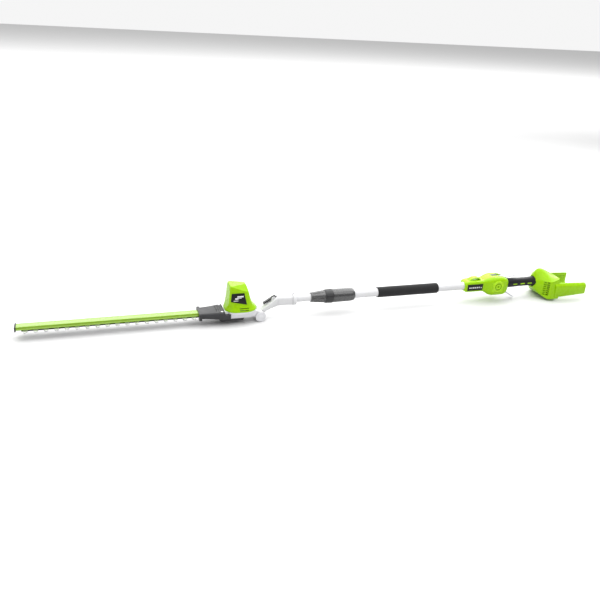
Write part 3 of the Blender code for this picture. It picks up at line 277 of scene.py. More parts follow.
# how it is made, its name, its colour and roughness, then what else that finish takes
FINISHES = (
    (moulded, "green_plastic", (0.262, 0.505, 0.0), 0.28, (0.42, 0.70, 0.02)),
    (painted, "bar_green", (0.185, 0.335, 0.004), 0.24, (0.40, 0.66, 0.03), 0.45),
    (moulded, "grey_plastic", (0.040, 0.040, 0.043), 0.36, (0.08, 0.08, 0.08)),
    (moulded, "collar_grey", (0.024, 0.024, 0.025), 0.26, (0.08, 0.08, 0.08), 1.0),
    (moulded, "black_plastic", (0.012, 0.012, 0.013), 0.34, (0.04, 0.04, 0.04), 0.5),
    (rubber_surface, "rubber", (0.010, 0.010, 0.012), 0.42),
    (foam_surface, "foam", (0.016, 0.016, 0.017), 0.9),
    (painted, "white_paint", (0.60, 0.60, 0.61), 0.30, WHITE_EDGE),
    (cast_metal, "cast_aluminium", (0.66, 0.66, 0.68), 0.42),
    (ground_metal, "steel", (0.50, 0.50, 0.51), 0.30, (1.0, 30.0, 1.0)),
    # the blades' last two: the half width and the colour of the painted shade along their spines
    (blade_metal, "blade_steel", (0.62, 0.62, 0.63), 0.30, 17.2, (0.012, 0.012, 0.012)),
    (ground_metal, "dark_steel", (0.06, 0.06, 0.065), 0.42),
    (moulded, "light_plastic", (0.62, 0.62, 0.66), 0.42, WHITE_EDGE),
    (moulded, "badge_black", (0.006, 0.006, 0.007), 0.40, (0.015, 0.015, 0.015), DULL),
    (ground_metal, "copper", (0.70, 0.33, 0.14), 0.32),
    (moulded, "board_green", (0.015, 0.11, 0.045), 0.5, (0.05, 0.2, 0.1)),
)
MATERIALS = {name: finish(name, *looks) for finish, name, *looks in FINISHES}


# ---- camera, light and floor, in metres ------------------------------------------------------------------
VIEW_RIGHT = Vector((0.9534, -0.2979, 0.0517))
VIEW_UP = Vector((0.0720, 0.3897, 0.9181))
VIEW_FORWARD = Vector((0.2936, 0.8716, -0.3930))
VIEW_STATION = 850.0
VIEW_DISTANCE, VIEW_DROP = 2.140, 0.006465
LENS, SENSOR = 39.72, 36.0

TOOL_MIDDLE, TOOL_REAR, FAR_FLOOR = (0.1, 0.0, 0.05), (0.7, 0.0, 0.05), (0.0, 16.0, 0.0)
# name, place, what it points at, size, power
SOFTBOXES = (
    ("top_softbox", (0.1, 0.4, 2.4), TOOL_MIDDLE, (4.8, 1.7), 72),
    ("rear_softbox", (0.8, 2.6, 1.9), TOOL_MIDDLE, (5.0, 1.7), 78),
    ("front_softbox", (-0.1, -1.35, 2.3), TOOL_MIDDLE, (4.8, 1.7), 54),
    ("right_softbox", (3.2, 1.4, 2.0), TOOL_REAR, (1.8, 1.8), 46),
    ("backdrop_softbox", (0.0, 5.0, 6.0), FAR_FLOOR, (24.0, 4.0), 2600),
)
SKY_FRONT, SKY_BACK = 0.45, 0.92
SKY_FROM_Y, SKY_TO_Y = -0.9, 0.6
FLOOR_REACH, FLOOR_GAP, FLOOR_SHADE = 30.0, 0.0005, 0.62


def make_camera():
    data = bpy.data.cameras.new("camera")
    data.lens = LENS
    data.sensor_width = SENSOR
    camera = bpy.data.objects.new("camera", data)
    target = WORLD @ Vector((VIEW_STATION, 0.0, 0.0))
    turn = Matrix((VIEW_RIGHT, VIEW_UP, -VIEW_FORWARD)).transposed().to_4x4()
    eye = target - VIEW_DROP * VIEW_UP - VIEW_DISTANCE * VIEW_FORWARD
    camera.matrix_world = Matrix.Translation(eye) @ turn
    bpy.context.scene.collection.objects.link(camera)
    bpy.context.scene.camera = camera


def make_softbox(name, at, aim, size, power):
    data = bpy.data.lights.new(name, "AREA")
    data.shape = "RECTANGLE"
    data.size, data.size_y = size
    data.energy = power
    light = bpy.data.objects.new(name, data)
    light.location = at
    light.rotation_euler = (Vector(aim) - Vector(at)).to_track_quat("-Z", "Y").to_euler()
    bpy.context.scene.collection.objects.link(light)


def make_sky():
    """Brighter behind the tool than behind the camera."""
    world = bpy.data.worlds.new("studio")
    world.use_nodes = True
    tree = world.node_tree
    where = tree.nodes.new("ShaderNodeTexCoord")
    parts = tree.nodes.new("ShaderNodeSeparateXYZ")
    strength = tree.nodes.new("ShaderNodeMapRange")
    set_range(strength, SKY_FROM_Y, SKY_TO_Y, SKY_FRONT, SKY_BACK)
    tree.links.new(where.outputs["Generated"], parts.inputs["Vector"])
    tree.links.new(parts.outputs["Y"], strength.inputs["Value"])
    background = tree.nodes["Background"]
    background.inputs["Color"].default_value = (1.0, 1.0, 1.0, 1.0)
    tree.links.new(strength.outputs["Result"], background.inputs["Strength"])
    bpy.context.scene.world = world


def make_floor():
    bm = bmesh.new()
    corners = ((-1, -1), (1, -1), (1, 1), (-1, 1))
    bm.faces.new([bm.verts.new((x * FLOOR_REACH, y * FLOOR_REACH, 0.0)) for x, y in corners])
    mesh = bpy.data.meshes.new("floor")
    bm.to_mesh(mesh)
    bm.free()
    floor = bpy.data.objects.new("floor", mesh)
    floor.location.z = cad_box[0][2] - FLOOR_GAP
    bpy.context.scene.collection.objects.link(floor)
    paper = Shader("floor_paper", (FLOOR_SHADE, FLOOR_SHADE, FLOOR_SHADE), 0.9)
    paper.speckle(scale=3.0, amount=0.005)
    mesh.materials.append(paper.made)


def make_studio():
    for softbox in SOFTBOXES:
        make_softbox(*softbox)
    make_sky()
    bpy.context.scene.view_settings.view_transform = "Standard"
    make_floor()


# ---- mesh building blocks: each one draws into a bmesh ---------------------------------------------------
AXES = {
    "X": lambda along, u, v: (along, u, v),
    "Y": lambda along, u, v: (v, along, u),
    "Z": lambda along, u, v: (u, v, along),
}


def bridge(bm, first, second):
    count = len(first)
    for i in range(count):
        j = (i + 1) % count
        bm.faces.new((first[i], first[j], second[j], second[i]))


def loft(bm, loops, capped=True):
    rows = [[bm.verts.new(point) for point in loop] for loop in loops]
    for first, second in zip(rows, rows[1:]):
        bridge(bm, first, second)
    if capped:
        bm.faces.new(rows[0])
        bm.faces.new(rows[-1])
    return rows


def circle(radius, count):
    return [(radius * cos(2 * pi * i / count), radius * sin(2 * pi * i / count)) for i in range(count)]


def turned(bm, axis, centre, profile, count=96):
    """Turns (along, radius) points about an axis: a solid if the first radius is 0, and otherwise a ring."""
    to_point = AXES[axis]
    rows = []
    for along, radius in profile:
        spots = [(0.0, 0.0)] if radius == 0 else circle(radius, count)
        rows.append([bm.verts.new(Vector(to_point(along, u, v)) + Vector(centre)) for u, v in spots])
    pairs = list(zip(rows, rows[1:]))
    if profile[0][1] != 0:
        pairs.append((rows[-1], rows[0]))
    for first, second in pairs:
        if len(first) == 1 or len(second) == 1:
            tip, rim = (first[0], second) if len(first) == 1 else (second[0], first)
            for i in range(count):
                bm.faces.new((tip, rim[i], rim[(i + 1) % count]))
        else:
            bridge(bm, first, second)


def turned_twice(bm, centre, profile, count=72):
    """Turns (distance from the middle plane, radius) points about a cross axis, on both sides of the tool."""
    for side, _ in SIDES:
        turned(bm, "Y", centre, [(side * y, radius) for y, radius in profile], count)


def sleeve(bm, rows, radius_at, bore, count):
    """A ring along the pole: radius_at(row, angle) outside, and plain (station, radius) circles inside."""
    loops = []
    for row in rows:
        outline = []
        for i in range(count):
            angle = 2 * pi * i / count
            radius = radius_at(row, angle)
            outline.append((radius * cos(angle), radius * sin(angle)))
        loops.append(across(row[0], outline))
    loops += [across(station, circle(radius, count)) for station, radius in bore]
    made = loft(bm, loops, capped=False)
    bridge(bm, made[-1], made[0])


def block(bm, x, y, z):
    return loft(bm, [[(s, y[0], z[0]), (s, y[1], z[0]), (s, y[1], z[1]), (s, y[0], z[1])] for s in x])


def blocks(bm, boxes):
    for x, y, z in boxes:
        block(bm, x, y, z)


def mirrored(boxes):
    """Each (x, y, z) box on both sides of the tool."""
    return [(x, sorted((side * y[0], side * y[1])), z) for side, _ in SIDES for x, y, z in boxes]


def prism(bm, axis, outline, start, end):
    to_point = AXES[axis]
    loft(bm, [[to_point(along, u, v) for u, v in outline] for along in (start, end)])


def side_prism(bm, outline, start, end):
    """Extrudes a (station, z) outline across the tool."""
    prism(bm, "Y", [(z, station) for station, z in outline], start, end)


def rounded(low_u, high_u, low_v, high_v, radius, steps=6):
    """A rectangle with round corners, counter-clockwise from its (high, high) corner."""
    radii = radius if isinstance(radius, tuple) else (radius,) * 4
    corners = (
        (high_u, high_v, -1, -1, 0),
        (low_u, high_v, 1, -1, 90),
        (low_u, low_v, 1, 1, 180),
        (high_u, low_v, -1, 1, 270),
    )
    points = []
    for (u, v, side_u, side_v, turn), r in zip(corners, radii):
        for i in range(steps + 1):
            angle = radians(turn + 90 * i / steps)
            points.append((u + side_u * r + r * cos(angle), v + side_v * r + r * sin(angle)))
    return points


def across(station, outline):
    return [(station, y, z) for y, z in outline]


def smooth_rows(rows, per_gap=5):
    """Rows of numbers with more rows between them, on a curve through the given ones."""
    last = len(rows) - 1
    found = []
    for i in range(last):
        around = (rows[max(0, min(last, k))] for k in (i - 1, i, i + 1, i + 2))
        columns = list(zip(*around))
        for step in range(per_gap):
            t = step / per_gap
            row = []
            for p0, p1, p2, p3 in columns:
                square = 2 * p0 - 5 * p1 + 4 * p2 - p3
                cube = 3 * (p1 - p2) + p3 - p0
                value = p1 + 0.5 * t * (p2 - p0 + t * (square + t * cube))
                row.append(max(min(p1, p2), min(max(p1, p2), value)))
            found.append(tuple(row))
    return found + [tuple(rows[-1])]


# ---- objects ---------------------------------------------------------------------------------------------
def drawn(name, draw, *args, sharp=32.0, **sizes):
    """A new object with the mesh that one of the building blocks draws."""
    bm = bmesh.new()
    draw(bm, *args, **sizes)
    bmesh.ops.transform(bm, matrix=WORLD, verts=bm.verts)
    bmesh.ops.recalc_face_normals(bm, faces=bm.faces)
    mesh = bpy.data.meshes.new(name)
    bm.to_mesh(mesh)
    bm.free()
    mesh.shade_smooth()
    mesh.set_sharp_from_angle(angle=radians(sharp))
    obj = bpy.data.objects.new(name, mesh)
    bpy.context.scene.collection.objects.link(obj)
    return obj


def applied(obj):
    """The object with its modifiers made part of its mesh."""
    bpy.context.view_layer.update()
    graph = bpy.context.evaluated_depsgraph_get()
    mesh = bpy.data.meshes.new_from_object(obj.evaluated_get(graph))
    obj.modifiers.clear()
    obj.data = mesh
    return obj


def combine(obj, draw, *args, operation="DIFFERENCE", **sizes):
    helper = drawn("helper", draw, *args, **sizes)
    step = obj.modifiers.new("step", "BOOLEAN")
    step.operation = operation
    step.object = helper
    step.solver = "EXACT"
    applied(obj)
    bpy.data.objects.remove(helper)


def add_bevel(obj, width, segments, angle):
    edge = obj.modifiers.new("rounded_edges", "BEVEL")
    edge.width = width * MM
    edge.segments = segments
    edge.limit_method = "ANGLE"
    edge.angle_limit = radians(angle)
    edge.harden_normals = True
    edge.use_clamp_overlap = True


def soften(obj, width, segments=3, angle=32.0):
    """Rounds the sharp edges, with faces that stay flat between them."""
    add_bevel(obj, width, segments, angle)
    return applied(obj)


def detail(obj, body, slot):
    """A piece that rides on a body with a slot's finish."""
    obj.data.materials.clear()
    obj.data.materials.append(MATERIALS[slot])
    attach(obj, body)


def stand_for(obj, node):
    """The piece rides with this CAD node, takes its finish, and is shown in its place."""
    detail(obj, BODY_OF[node], SLOT_OF[node])
    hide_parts(node)


def part_in_halves(source, piece, node, reach, width, segments, angle):
    """Parts a shell on its middle plane, with a hairline gap, into its left and right pieces."""
    for side, word in SIDES:
        half = source.copy()
        half.data = source.data.copy()
        half.name = f"{piece}_{word}"
        bpy.context.scene.collection.objects.link(half)
        combine(half, block, x=reach, y=(-side * 200, side * 0.15), z=(-200, 200))
        soften(half, width, segments, angle)
        stand_for(half, f"{node}_{word}")
    bpy.data.objects.remove(source)


# ---- blades and bar --------------------------------------------------------------------------------------
TOOTH_COUNT, TOOTH_FIRST, TOOTH_PITCH = 18, 21.5, 28.37
TOOTH_ROOT, TOOTH_TIP, TOOTH_ROUND = 7.0, 4.4, 3.0
BLADE_NOSE, SPINE_HALF, TEETH_HALF = 11.0, 16.2, 32.4
TAIL_START, TAIL_LENGTH, TAIL_HALF = 594.0, 63.0, 22.5
BLADE_BOLTS = (75.0, 200.0, 325.0, 450.0)
BOLT_SLOT_REACH, BOLT_SLOT_RADIUS = 8.3, 3.4
CRANK_WINDOW = (600.2, 650.8, -17.3, 17.3, 2.0)
THROUGH_BLADES = (-40.0, -20.0)
BAR_INSET, BAR_LIP = 3.2, 0.9


def blade_outline():
    """Half of the blade from nose to tail, with round-tipped teeth, then its mirror image."""
    shoulder = TEETH_HALF - TOOTH_ROUND
    flank = ((TOOTH_ROOT + 1.0, SPINE_HALF), (TOOTH_ROOT - 0.6, SPINE_HALF + 2.0), (TOOTH_TIP, shoulder))
    half = [(TOOTH_FIRST - BLADE_NOSE, SPINE_HALF)]
    for i in range(TOOTH_COUNT):
        s = TOOTH_FIRST + i * TOOTH_PITCH
        half += [(s - reach, y) for reach, y in flank]
        for angle in map(radians, range(-60, 61, 20)):
            half.append((s + TOOTH_TIP * sin(angle), shoulder + TOOTH_ROUND * cos(angle)))
        half += [(s + reach, y) for reach, y in reversed(flank)]
    half += [(TAIL_START, SPINE_HALF), (TAIL_START, TAIL_HALF), (TAIL_START + TAIL_LENGTH, TAIL_HALF)]
    return half + [(s, -y) for s, y in reversed(half)]


def blade_openings(bm):
    """A slot round each bolt, and the window that the crank's disc turns in."""
    for station in BLADE_BOLTS:
        slot = []
        for side, start in ((1, -90), (-1, 90)):
            for angle in map(radians, range(start, start + 181, 30)):
                along = side * BOLT_SLOT_REACH + BOLT_SLOT_RADIUS * cos(angle)
                slot.append((station + along, BOLT_SLOT_RADIUS * sin(angle)))
        prism(bm, "Z", slot, *THROUGH_BLADES)
    prism(bm, "Z", rounded(*CRANK_WINDOW), *THROUGH_BLADES)


def make_blades():
    for name in ("upper_blade", "lower_blade"):
        low, high = local(name)
        blade = drawn(f"{name}_ground", prism, "Z", blade_outline(), low.z, high.z)
        combine(blade, blade_openings)
        soften(blade, width=0.55, segments=2, angle=50.0)
        stand_for(blade, name)
        # the blade finish paints shade along the blades' spines
        blade.data.materials[0] = MATERIALS["blade_steel"]


def make_bar():
    """A sloping lip at the foot, an upright wall and a rounded top edge on each side."""
    low, high = local("support_bar")
    top, wall = high.z, high.y - BAR_INSET
    side = [(high.y, low.z), (high.y, low.z + BAR_LIP), (wall + 0.2, top - 5.0), (wall, top - 4.6)]
    side += [(wall, top - 1.0), (wall - 0.3, top - 0.4), (wall - 0.8, top - 0.1), (wall - 1.4, top)]
    section = side + [(-y, z) for y, z in reversed(side)]
    bar = drawn("bar_channel", prism, "X", section, low.x, high.x)
    stand_for(soften(bar, width=0.25, segments=2), "support_bar")


# ---- guard -----------------------------------------------------------------------------------------------
GUARD_FLANGE = (-34.5, 34.5, -40.0, -16.0, 6)
# station, half width, underside, top, radius of the upper corners, radius of the lower ones
GUARD_STATIONS = (
    (560.0, 33.0, -36.5, -16.6, 7, 3),
    (585.0, 37.5, -38.3, -14.9, 8, 4),
    (598.0, 39.0, -39.0, -14.0, 8, 4),
)
# station, half width, underside
WING_STATIONS = (
    (594.0, 39.0, -39.2),
    (606.0, 39.0, -39.4),
    (612.0, 38.6, -38.9),
    (616.0, 37.6, -37.4),
)
WING_TOP = -22.4
GUARD_CHANNEL_END, GUARD_CHANNEL = 584.0, ((-17.4, 17.4), (-33.9, -19.6))  # the way for the bar and blades
GUARD_FOOT_END, GUARD_FOOT = 583.0, ((-12, 12), (-60, -33.4))  # the open underside
GUARD_SEAT = ((581.7, 621.0), (-30.3, 30.3), (-60, -16.1))  # where the gear housing sits
GUARD_SLOTS = [(573.0 + 6.5 * i, -16.5 + 0.45 * i) for i in range(4)]
GUARD_SLOT_WIDTH, GUARD_SLOT_ACROSS = 3.6, (-22.0, 24.0)
# how far the painted-shade sheets in the slots stand in from the slot walls
SLOT_SHADE_GAP = 0.1


def make_guard():
    front = local("blade_guard")[0].x
    rows = smooth_rows((
        (front + 5, 29.0, -34.5, -17.8, 5, 2.5),
        (front + 20, 30.5, -35.2, -17.6, 6, 3),
        *GUARD_STATIONS,
    ))
    body = [across(s, rounded(-w, w, z0, z1, (top, top, foot, foot))) for s, w, z0, z1, top, foot in rows]
    wing = [across(s, rounded(-w, w, z, WING_TOP, 3)) for s, w, z in WING_STATIONS]
    guard = drawn("guard_moulded", loft, [across(s, rounded(*GUARD_FLANGE)) for s in (front, front + 8)])
    combine(guard, loft, body, operation="UNION")
    combine(guard, loft, wing, operation="UNION")
    combine(guard, block, (front - 5, GUARD_CHANNEL_END), *GUARD_CHANNEL)
    combine(guard, block, (front - 4, GUARD_FOOT_END), *GUARD_FOOT)
    combine(guard, block, *GUARD_SEAT)
    slots = [((s, s + GUARD_SLOT_WIDTH), GUARD_SLOT_ACROSS, (floor, 5.0)) for s, floor in GUARD_SLOTS]
    combine(guard, blocks, slots)
    soften(guard, width=0.7, segments=2, angle=40.0)
    stand_for(guard, "blade_guard")
    # a thin black sheet on each slot's floor: painted shade in the slots
    for i, (station, floor) in enumerate(GUARD_SLOTS, 1):
        x = (station + SLOT_SHADE_GAP, station + GUARD_SLOT_WIDTH - SLOT_SHADE_GAP)
        y = (GUARD_SLOT_ACROSS[0] + SLOT_SHADE_GAP, GUARD_SLOT_ACROSS[1] - SLOT_SHADE_GAP)
        slot_shade = drawn(f"guard_slot_shade_{i}", block, x, y, (floor + 0.02, floor + 0.12))
        detail(slot_shade, BODY_OF["blade_guard"], "badge_black")


# ---- motor cover -----------------------------------------------------------------------------------------
# z, front station, rear station, half width, radius of the front corners, radius of the rear ones
DOME_LEVELS = (
    (-16.0, 600.5, 704.0, 43.0, 36.0, 41.0),
    (-13.0, 600.3, 704.2, 43.2, 36.0, 41.0),
    (-10.5, 601.5, 702.5, 42.3, 34.0, 39.0),
    (-6.0, 604.0, 698.0, 40.0, 28.0, 34.0),
    (2.0, 608.0, 689.0, 36.5, 16.0, 22.0),
    (12.0, 610.5, 683.0, 34.0, 9.0, 12.0),
    (46.0, 613.5, 674.0, 29.5, 7.0, 9.0),
    (61.0, 614.8, 669.0, 27.6, 7.0, 9.0),
    (64.4, 616.0, 667.5, 26.4, 7.0, 9.0),
    (65.7, 617.6, 665.5, 24.6, 7.0, 8.0),
    (66.0, 619.5, 663.0, 22.5, 7.0, 7.0),
)
DOME_FLANK = DOME_LEVELS[5], DOME_LEVELS[6]  # the straight stretch of its sides
DOME_WALL, DOME_INSIDE_TOP = 2.5, 60.0
SHOULDER_POINTS = ((611, 27.8, 66.5), (660, 27.8, 51.0), (667, 8.0, 66.0))
DOME_LOUVRES = [((643, 672), (-60, 60), (z, z + 2.6)) for z in (-11.5, -6.0)]


def dome_loops(levels):
    loops = []
    for z, front, rear, half, front_r, rear_r in levels:
        plan = rounded(front, rear, -half, half, (rear_r, front_r, front_r, rear_r), 10)
        loops.append([(s, y, z) for s, y in plan])
    return loops


def dome_hollow():
    """The inside of the dome, one wall thickness in, from just under its open foot."""
    levels = []
    for z, front, rear, *sizes in DOME_LEVELS:
        if z < DOME_INSIDE_TOP:
            inner = [size - DOME_WALL for size in sizes]
            levels.append((z, front + DOME_WALL, rear - DOME_WALL, *inner))
    levels[0] = (levels[0][0] - 1, *levels[0][1:])
    return dome_loops(levels)


def dome_shoulder(bm, side):
    """All that lies over the slanting plane through three points of one shoulder."""
    a, b, c = (Vector((station, side * y, z)) for station, y, z in SHOULDER_POINTS)
    out = (b - a).cross(c - a).normalized()
    out = -out if out.z < 0 else out
    along = (b - a).normalized()
    inward = out.cross(along).normalized()
    middle = (a + b) / 2
    corners = ((-60, 0), (60, 0), (60, 40), (-60, 40))
    loft(bm, [[middle + along * reach + inward * w + out * h for w, h in corners] for reach in (-60.0, 60.0)])


def make_dome():
    dome = drawn("dome_cover", loft, dome_loops(DOME_LEVELS))
    for side, _ in SIDES:
        combine(dome, dome_shoulder, side)
    combine(dome, loft, dome_hollow())
    combine(dome, blocks, DOME_LOUVRES)
    soften(dome, width=1.1, segments=3, angle=28.0)
    stand_for(dome, "motor_cover")


# ---- tubes, collar and knuckle ---------------------------------------------------------------------------
TUBES = (("inner_tube", 12.0, 10.7), ("outer_tube", 14.0, 13.0))
# station, radius
COLLAR_PROFILE = (
    (925.0, 12.5), (925.0, 16.4), (960.0, 16.4), (960.0, 21.4), (962.0, 22.0),
    (995.0, 22.1), (1022.0, 21.8), (1028.0, 21.2), (1032.0, 20.2), (1034.8, 18.8),
    (1036.0, 17.2), (1036.0, 14.3), (984.7, 14.3), (984.7, 12.5),
)
FLUTES, FLUTE_TURN = 8, radians(-11)
# station, radius, depth of the flutes
NUT_STATIONS = (
    (885.0, 15.4, 0.0),
    (888.0, 16.1, 0.7),
    (900.0, 17.3, 1.4),
    (912.0, 18.5, 1.5),
    (925.0, 19.8, 0.9),
    (932.5, 20.2, 0.0),
)
NUT_BORE = ((932.5, 17.0), (893.0, 14.6), (893.0, 12.35), (885.0, 12.35))
RIDGES = 30
# station, radius, depth between the ridges
RING_STATIONS = (
    (932.8, 21.4, 0.0),
    (934.0, 22.2, 0.2),
    (938.0, 22.8, 0.5),
    (952.0, 23.3, 0.5),
    (957.5, 23.3, 0.2),
    (959.7, 22.4, 0.0),
)
RING_BORE = ((959.7, 17.2), (932.8, 17.2))
KNUCKLE, CAP_RADIUS = (714.0, 0, -42.5), 17.0
# depth below the cap's outer face, radius
CAP_FACE = ((1.4, 17.0), (0.4, 16.6), (0.0, 15.6), (0.0, 11.6), (0.9, 11.0), (0.9, 6.2), (0.3, 5.6), (0.3, 0))


def make_turned_ring(name, profile, node):
    ring = drawn(name, turned, "X", ON_AXIS, profile)
    stand_for(soften(ring, width=0.4, segments=3, angle=25.0), node)


def make_tubes():
    for node, outer, bore in TUBES:
        low, high = local(node)
        profile = ((low.x, outer), (high.x, outer), (high.x, bore), (low.x, bore))
        make_turned_ring(f"{node}_painted", profile, node)


def make_collar():
    def fluted(row, angle):
        _, radius, depth = row
        return radius - depth * max(0.0, cos(FLUTES * (angle - FLUTE_TURN))) ** 0.7

    def ridged(row, angle):
        _, radius, depth = row
        return radius - depth * (0.5 - 0.5 * cos(RIDGES * angle))

    make_turned_ring("collar_sleeve", COLLAR_PROFILE, "collar_body")
    nut = drawn("collar_nut_fluted", sleeve, smooth_rows(NUT_STATIONS), fluted, NUT_BORE, FLUTES * 24)
    stand_for(nut, "collar_nut")
    ring = drawn("collar_ring_ribbed", sleeve, RING_STATIONS, ridged, RING_BORE, RIDGES * 6)
    stand_for(ring, "collar_ring")


def make_knuckle_caps():
    for side, word in SIDES:
        low, high = local(f"pivot_cap_{word}")
        near, far = (low.y, high.y) if side > 0 else (high.y, low.y)
        profile = [(near, 0), (near, CAP_RADIUS)]
        profile += [(far - side * depth, radius) for depth, radius in CAP_FACE]
        cap = drawn(f"knuckle_cap_{word}", turned, "Y", KNUCKLE, profile, 72)
        stand_for(cap, f"pivot_cap_{word}")


# ---- foam grip -------------------------------------------------------------------------------------------
# distance from the end, depth below the full radius
FOAM_CROWN = ((0.3, 2.4), (0.0, 1.5), (0.8, 0.6), (2.4, 0.1))
FOAM_SHOULDER, FOAM_STEPS, FOAM_BORE, FOAM_SIDES = 4, 90, 14.3, 96


def make_foam():
    """A soft sleeve: crowned ends, and a surface that is never quite round."""
    low, high = local("foam_grip")
    start, length = low.x + FOAM_SHOULDER, high.x - low.x - 2 * FOAM_SHOULDER
    rows = [(low.x + inward, high.y - depth) for inward, depth in FOAM_CROWN]
    rows += [(start + length * i / FOAM_STEPS, high.y) for i in range(FOAM_STEPS + 1)]
    rows += [(high.x - inward, high.y - depth) for inward, depth in reversed(FOAM_CROWN)]

    def wavy(row, angle):
        station, radius = row
        soft = noise.noise(Vector((station * 0.03, cos(angle) * 1.5, sin(angle) * 1.5)))
        fine = noise.noise(Vector((station * 0.22, cos(angle) * 9.0, sin(angle) * 9.0)))
        return radius - 0.25 - 0.22 * soft - 0.10 * fine

    bore = ((high.x - FOAM_CROWN[0][0], FOAM_BORE), (low.x + FOAM_CROWN[0][0], FOAM_BORE))
    foam = drawn("foam_sleeve", sleeve, rows, wavy, bore, FOAM_SIDES, sharp=50.0)
    stand_for(foam, "foam_grip")


# ---- handle ----------------------------------------------------------------------------------------------
# station, half width, underside, top, corner radius
HANDLE_STATIONS = (
    (1447.0, 16.5, -13.0, 12.0, 7),
    (1448.0, 19.0, -15.0, 14.0, 7),
    (1450.0, 21.2, -16.6, 16.4, 8),
    (1455.0, 22.6, -17.4, 19.2, 8),
    (1464.0, 23.0, -17.6, 21.0, 8),
    (1475.0, 23.0, -17.7, 21.8, 8),
    (1516.0, 23.0, -18.0, 22.0, 8),
    (1524.0, 24.6, -21.5, 24.0, 10),
    (1535.0, 28.8, -28.5, 28.0, 13),
    (1545.0, 32.0, -32.5, 31.0, 15),
    (1554.0, 33.4, -34.0, 33.0, 15),
    (1572.0, 33.5, -34.2, 33.5, 15),
    (1590.0, 33.4, -34.0, 31.5, 15),
    (1601.0, 32.2, -33.0, 28.5, 15),
    (1609.0, 29.0, -29.5, 25.0, 14),
    (1615.0, 23.5, -23.0, 20.8, 13),
    (1618.0, 18.0, -18.5, 18.0, 11),
)
# (station, z) outlines of the strap eye's arch and of the hole under it
STRAP_EYE = (
    (1463, 16), (1466, 22), (1472, 27), (1481, 30.4), (1492, 31.2),
    (1502, 29.6), (1508, 26), (1511, 21), (1512, 16),
)
EYE_HOLE = (
    (1470, 20.6), (1473, 23.6), (1482, 27.6), (1492, 28.4), (1501, 27.0), (1506, 23.6), (1507, 20.6),
)
BOSS = (1568.0, 0, 1.5)
# distance from the middle plane, radius
BOSS_PROFILE = ((20.0, 0), (20.0, 20.6), (35.0, 20.6), (36.4, 19.0), (36.8, 0))
GROOVE_PROFILE = ((32.0, 9.4), (32.0, 12.6), (40, 13.4), (40, 9.0))
DIMPLE_PROFILE = ((32.0, 0), (32.0, 3.4), (40, 4.2), (40, 0))
TUBE_SOCKET = ((1440.0, 0), (1440.0, 14.3), (1546.0, 14.3), (1546.0, 0))
# boxes along, across and up
HANDLE_ROOM = ((1560.0, 1612.0), (-20.0, 20.0), (-30.0, 26.0))
TRIGGER_OPENING = ((1596.0, 1640.0), (-8.4, 8.4), (-60.0, -14.5))
LOCK_OFF_OPENING = ((1577.0, 1640.0), (-9.4, 9.4), (13.5, 60.0))
HANDLE_REACH, EYE_HALF = (1400, 1700), 9.0
# name, from and to across the tool, from and to along it
TOP_TRIM = (
    ("middle", -7.0, 7.0, 1553, 1577),
    ("right", 9.6, 12.6, 1574, 1614),
    ("left", -12.6, -9.6, 1574, 1614),
)
TRIM_SUNK, TRIM_PROUD = 1.5, 0.7


def make_handle():
    rows = smooth_rows(HANDLE_STATIONS, 4)
    loops = [across(s, rounded(-w, w, low, high, radius, 8)) for s, w, low, high, radius in rows]
    shell = drawn("handle_source", loft, loops)
    combine(shell, side_prism, STRAP_EYE, -EYE_HALF, EYE_HALF, operation="UNION")
    combine(shell, turned_twice, BOSS, BOSS_PROFILE, operation="UNION")
    combine(shell, turned, "X", ON_AXIS, TUBE_SOCKET, 64)
    combine(shell, side_prism, EYE_HOLE, -20, 20)
    combine(shell, turned_twice, BOSS, GROOVE_PROFILE)
    combine(shell, turned_twice, BOSS, DIMPLE_PROFILE, 40)
    for opening in (HANDLE_ROOM, TRIGGER_OPENING, LOCK_OFF_OPENING):
        combine(shell, block, *opening)
    part_in_halves(shell, "handle_half", "handle_shell", HANDLE_REACH, width=0.8, segments=3, angle=35.0)

    for name, near, far, first, last in TOP_TRIM:
        loops = []
        for station, _, _, top, _ in rows:
            if first < station < last:
                low, high = top - TRIM_SUNK, top + TRIM_PROUD
                loops.append(across(station, ((near, low), (far, low), (far, high), (near, high))))
        strip = drawn(f"top_trim_{name}", loft, loops)
        detail(soften(strip, width=0.4, segments=2), "handle", "black_plastic")


# ---- marks on the plates ---------------------------------------------------------------------------------
LABEL_MARKS = [((1460.0 + 7.2 * i, 1464.0 + 7.2 * i), (-2.2, 2.4)) for i in range(6)]
LABEL_MARKS.append(((1504.5, 1508.0), (-2.2, 0.8)))
BADGE_MARKS = (((636.0, 656.0), (31.5, 35.5)), ((629.0, 649.0), (25.5, 29.5)), ((624.0, 657.0), (20.0, 21.8)))
BADGE_MARK_DEPTHS = (1.2, 1.45)  # from the dome's flank, outwards


def flank_half(height):
    """The dome's half width on the straight stretch of its sides."""
    foot, top = DOME_FLANK
    return top[3] + (top[0] - height) * (foot[3] - top[3]) / (top[0] - foot[0])


def make_marks():
    """Plain bars on the two dark plates, where a real tool carries its printing."""
    face = local("label_plate")[0].y
    for i, (x, z) in enumerate(LABEL_MARKS, 1):
        mark = drawn(f"label_mark_{i}", block, x, (face - 0.15, face + 0.05), z)
        detail(mark, "handle", "light_plastic")
    for i, (x, z) in enumerate(BADGE_MARKS, 1):
        corners = ((x[0], z[0]), (x[1], z[0]), (x[1], z[1]), (x[0], z[1]))
        loops = [[(s, -flank_half(h) - depth, h) for s, h in corners] for depth in BADGE_MARK_DEPTHS]
        detail(drawn(f"badge_mark_{i}", loft, loops), "head", "light_plastic")


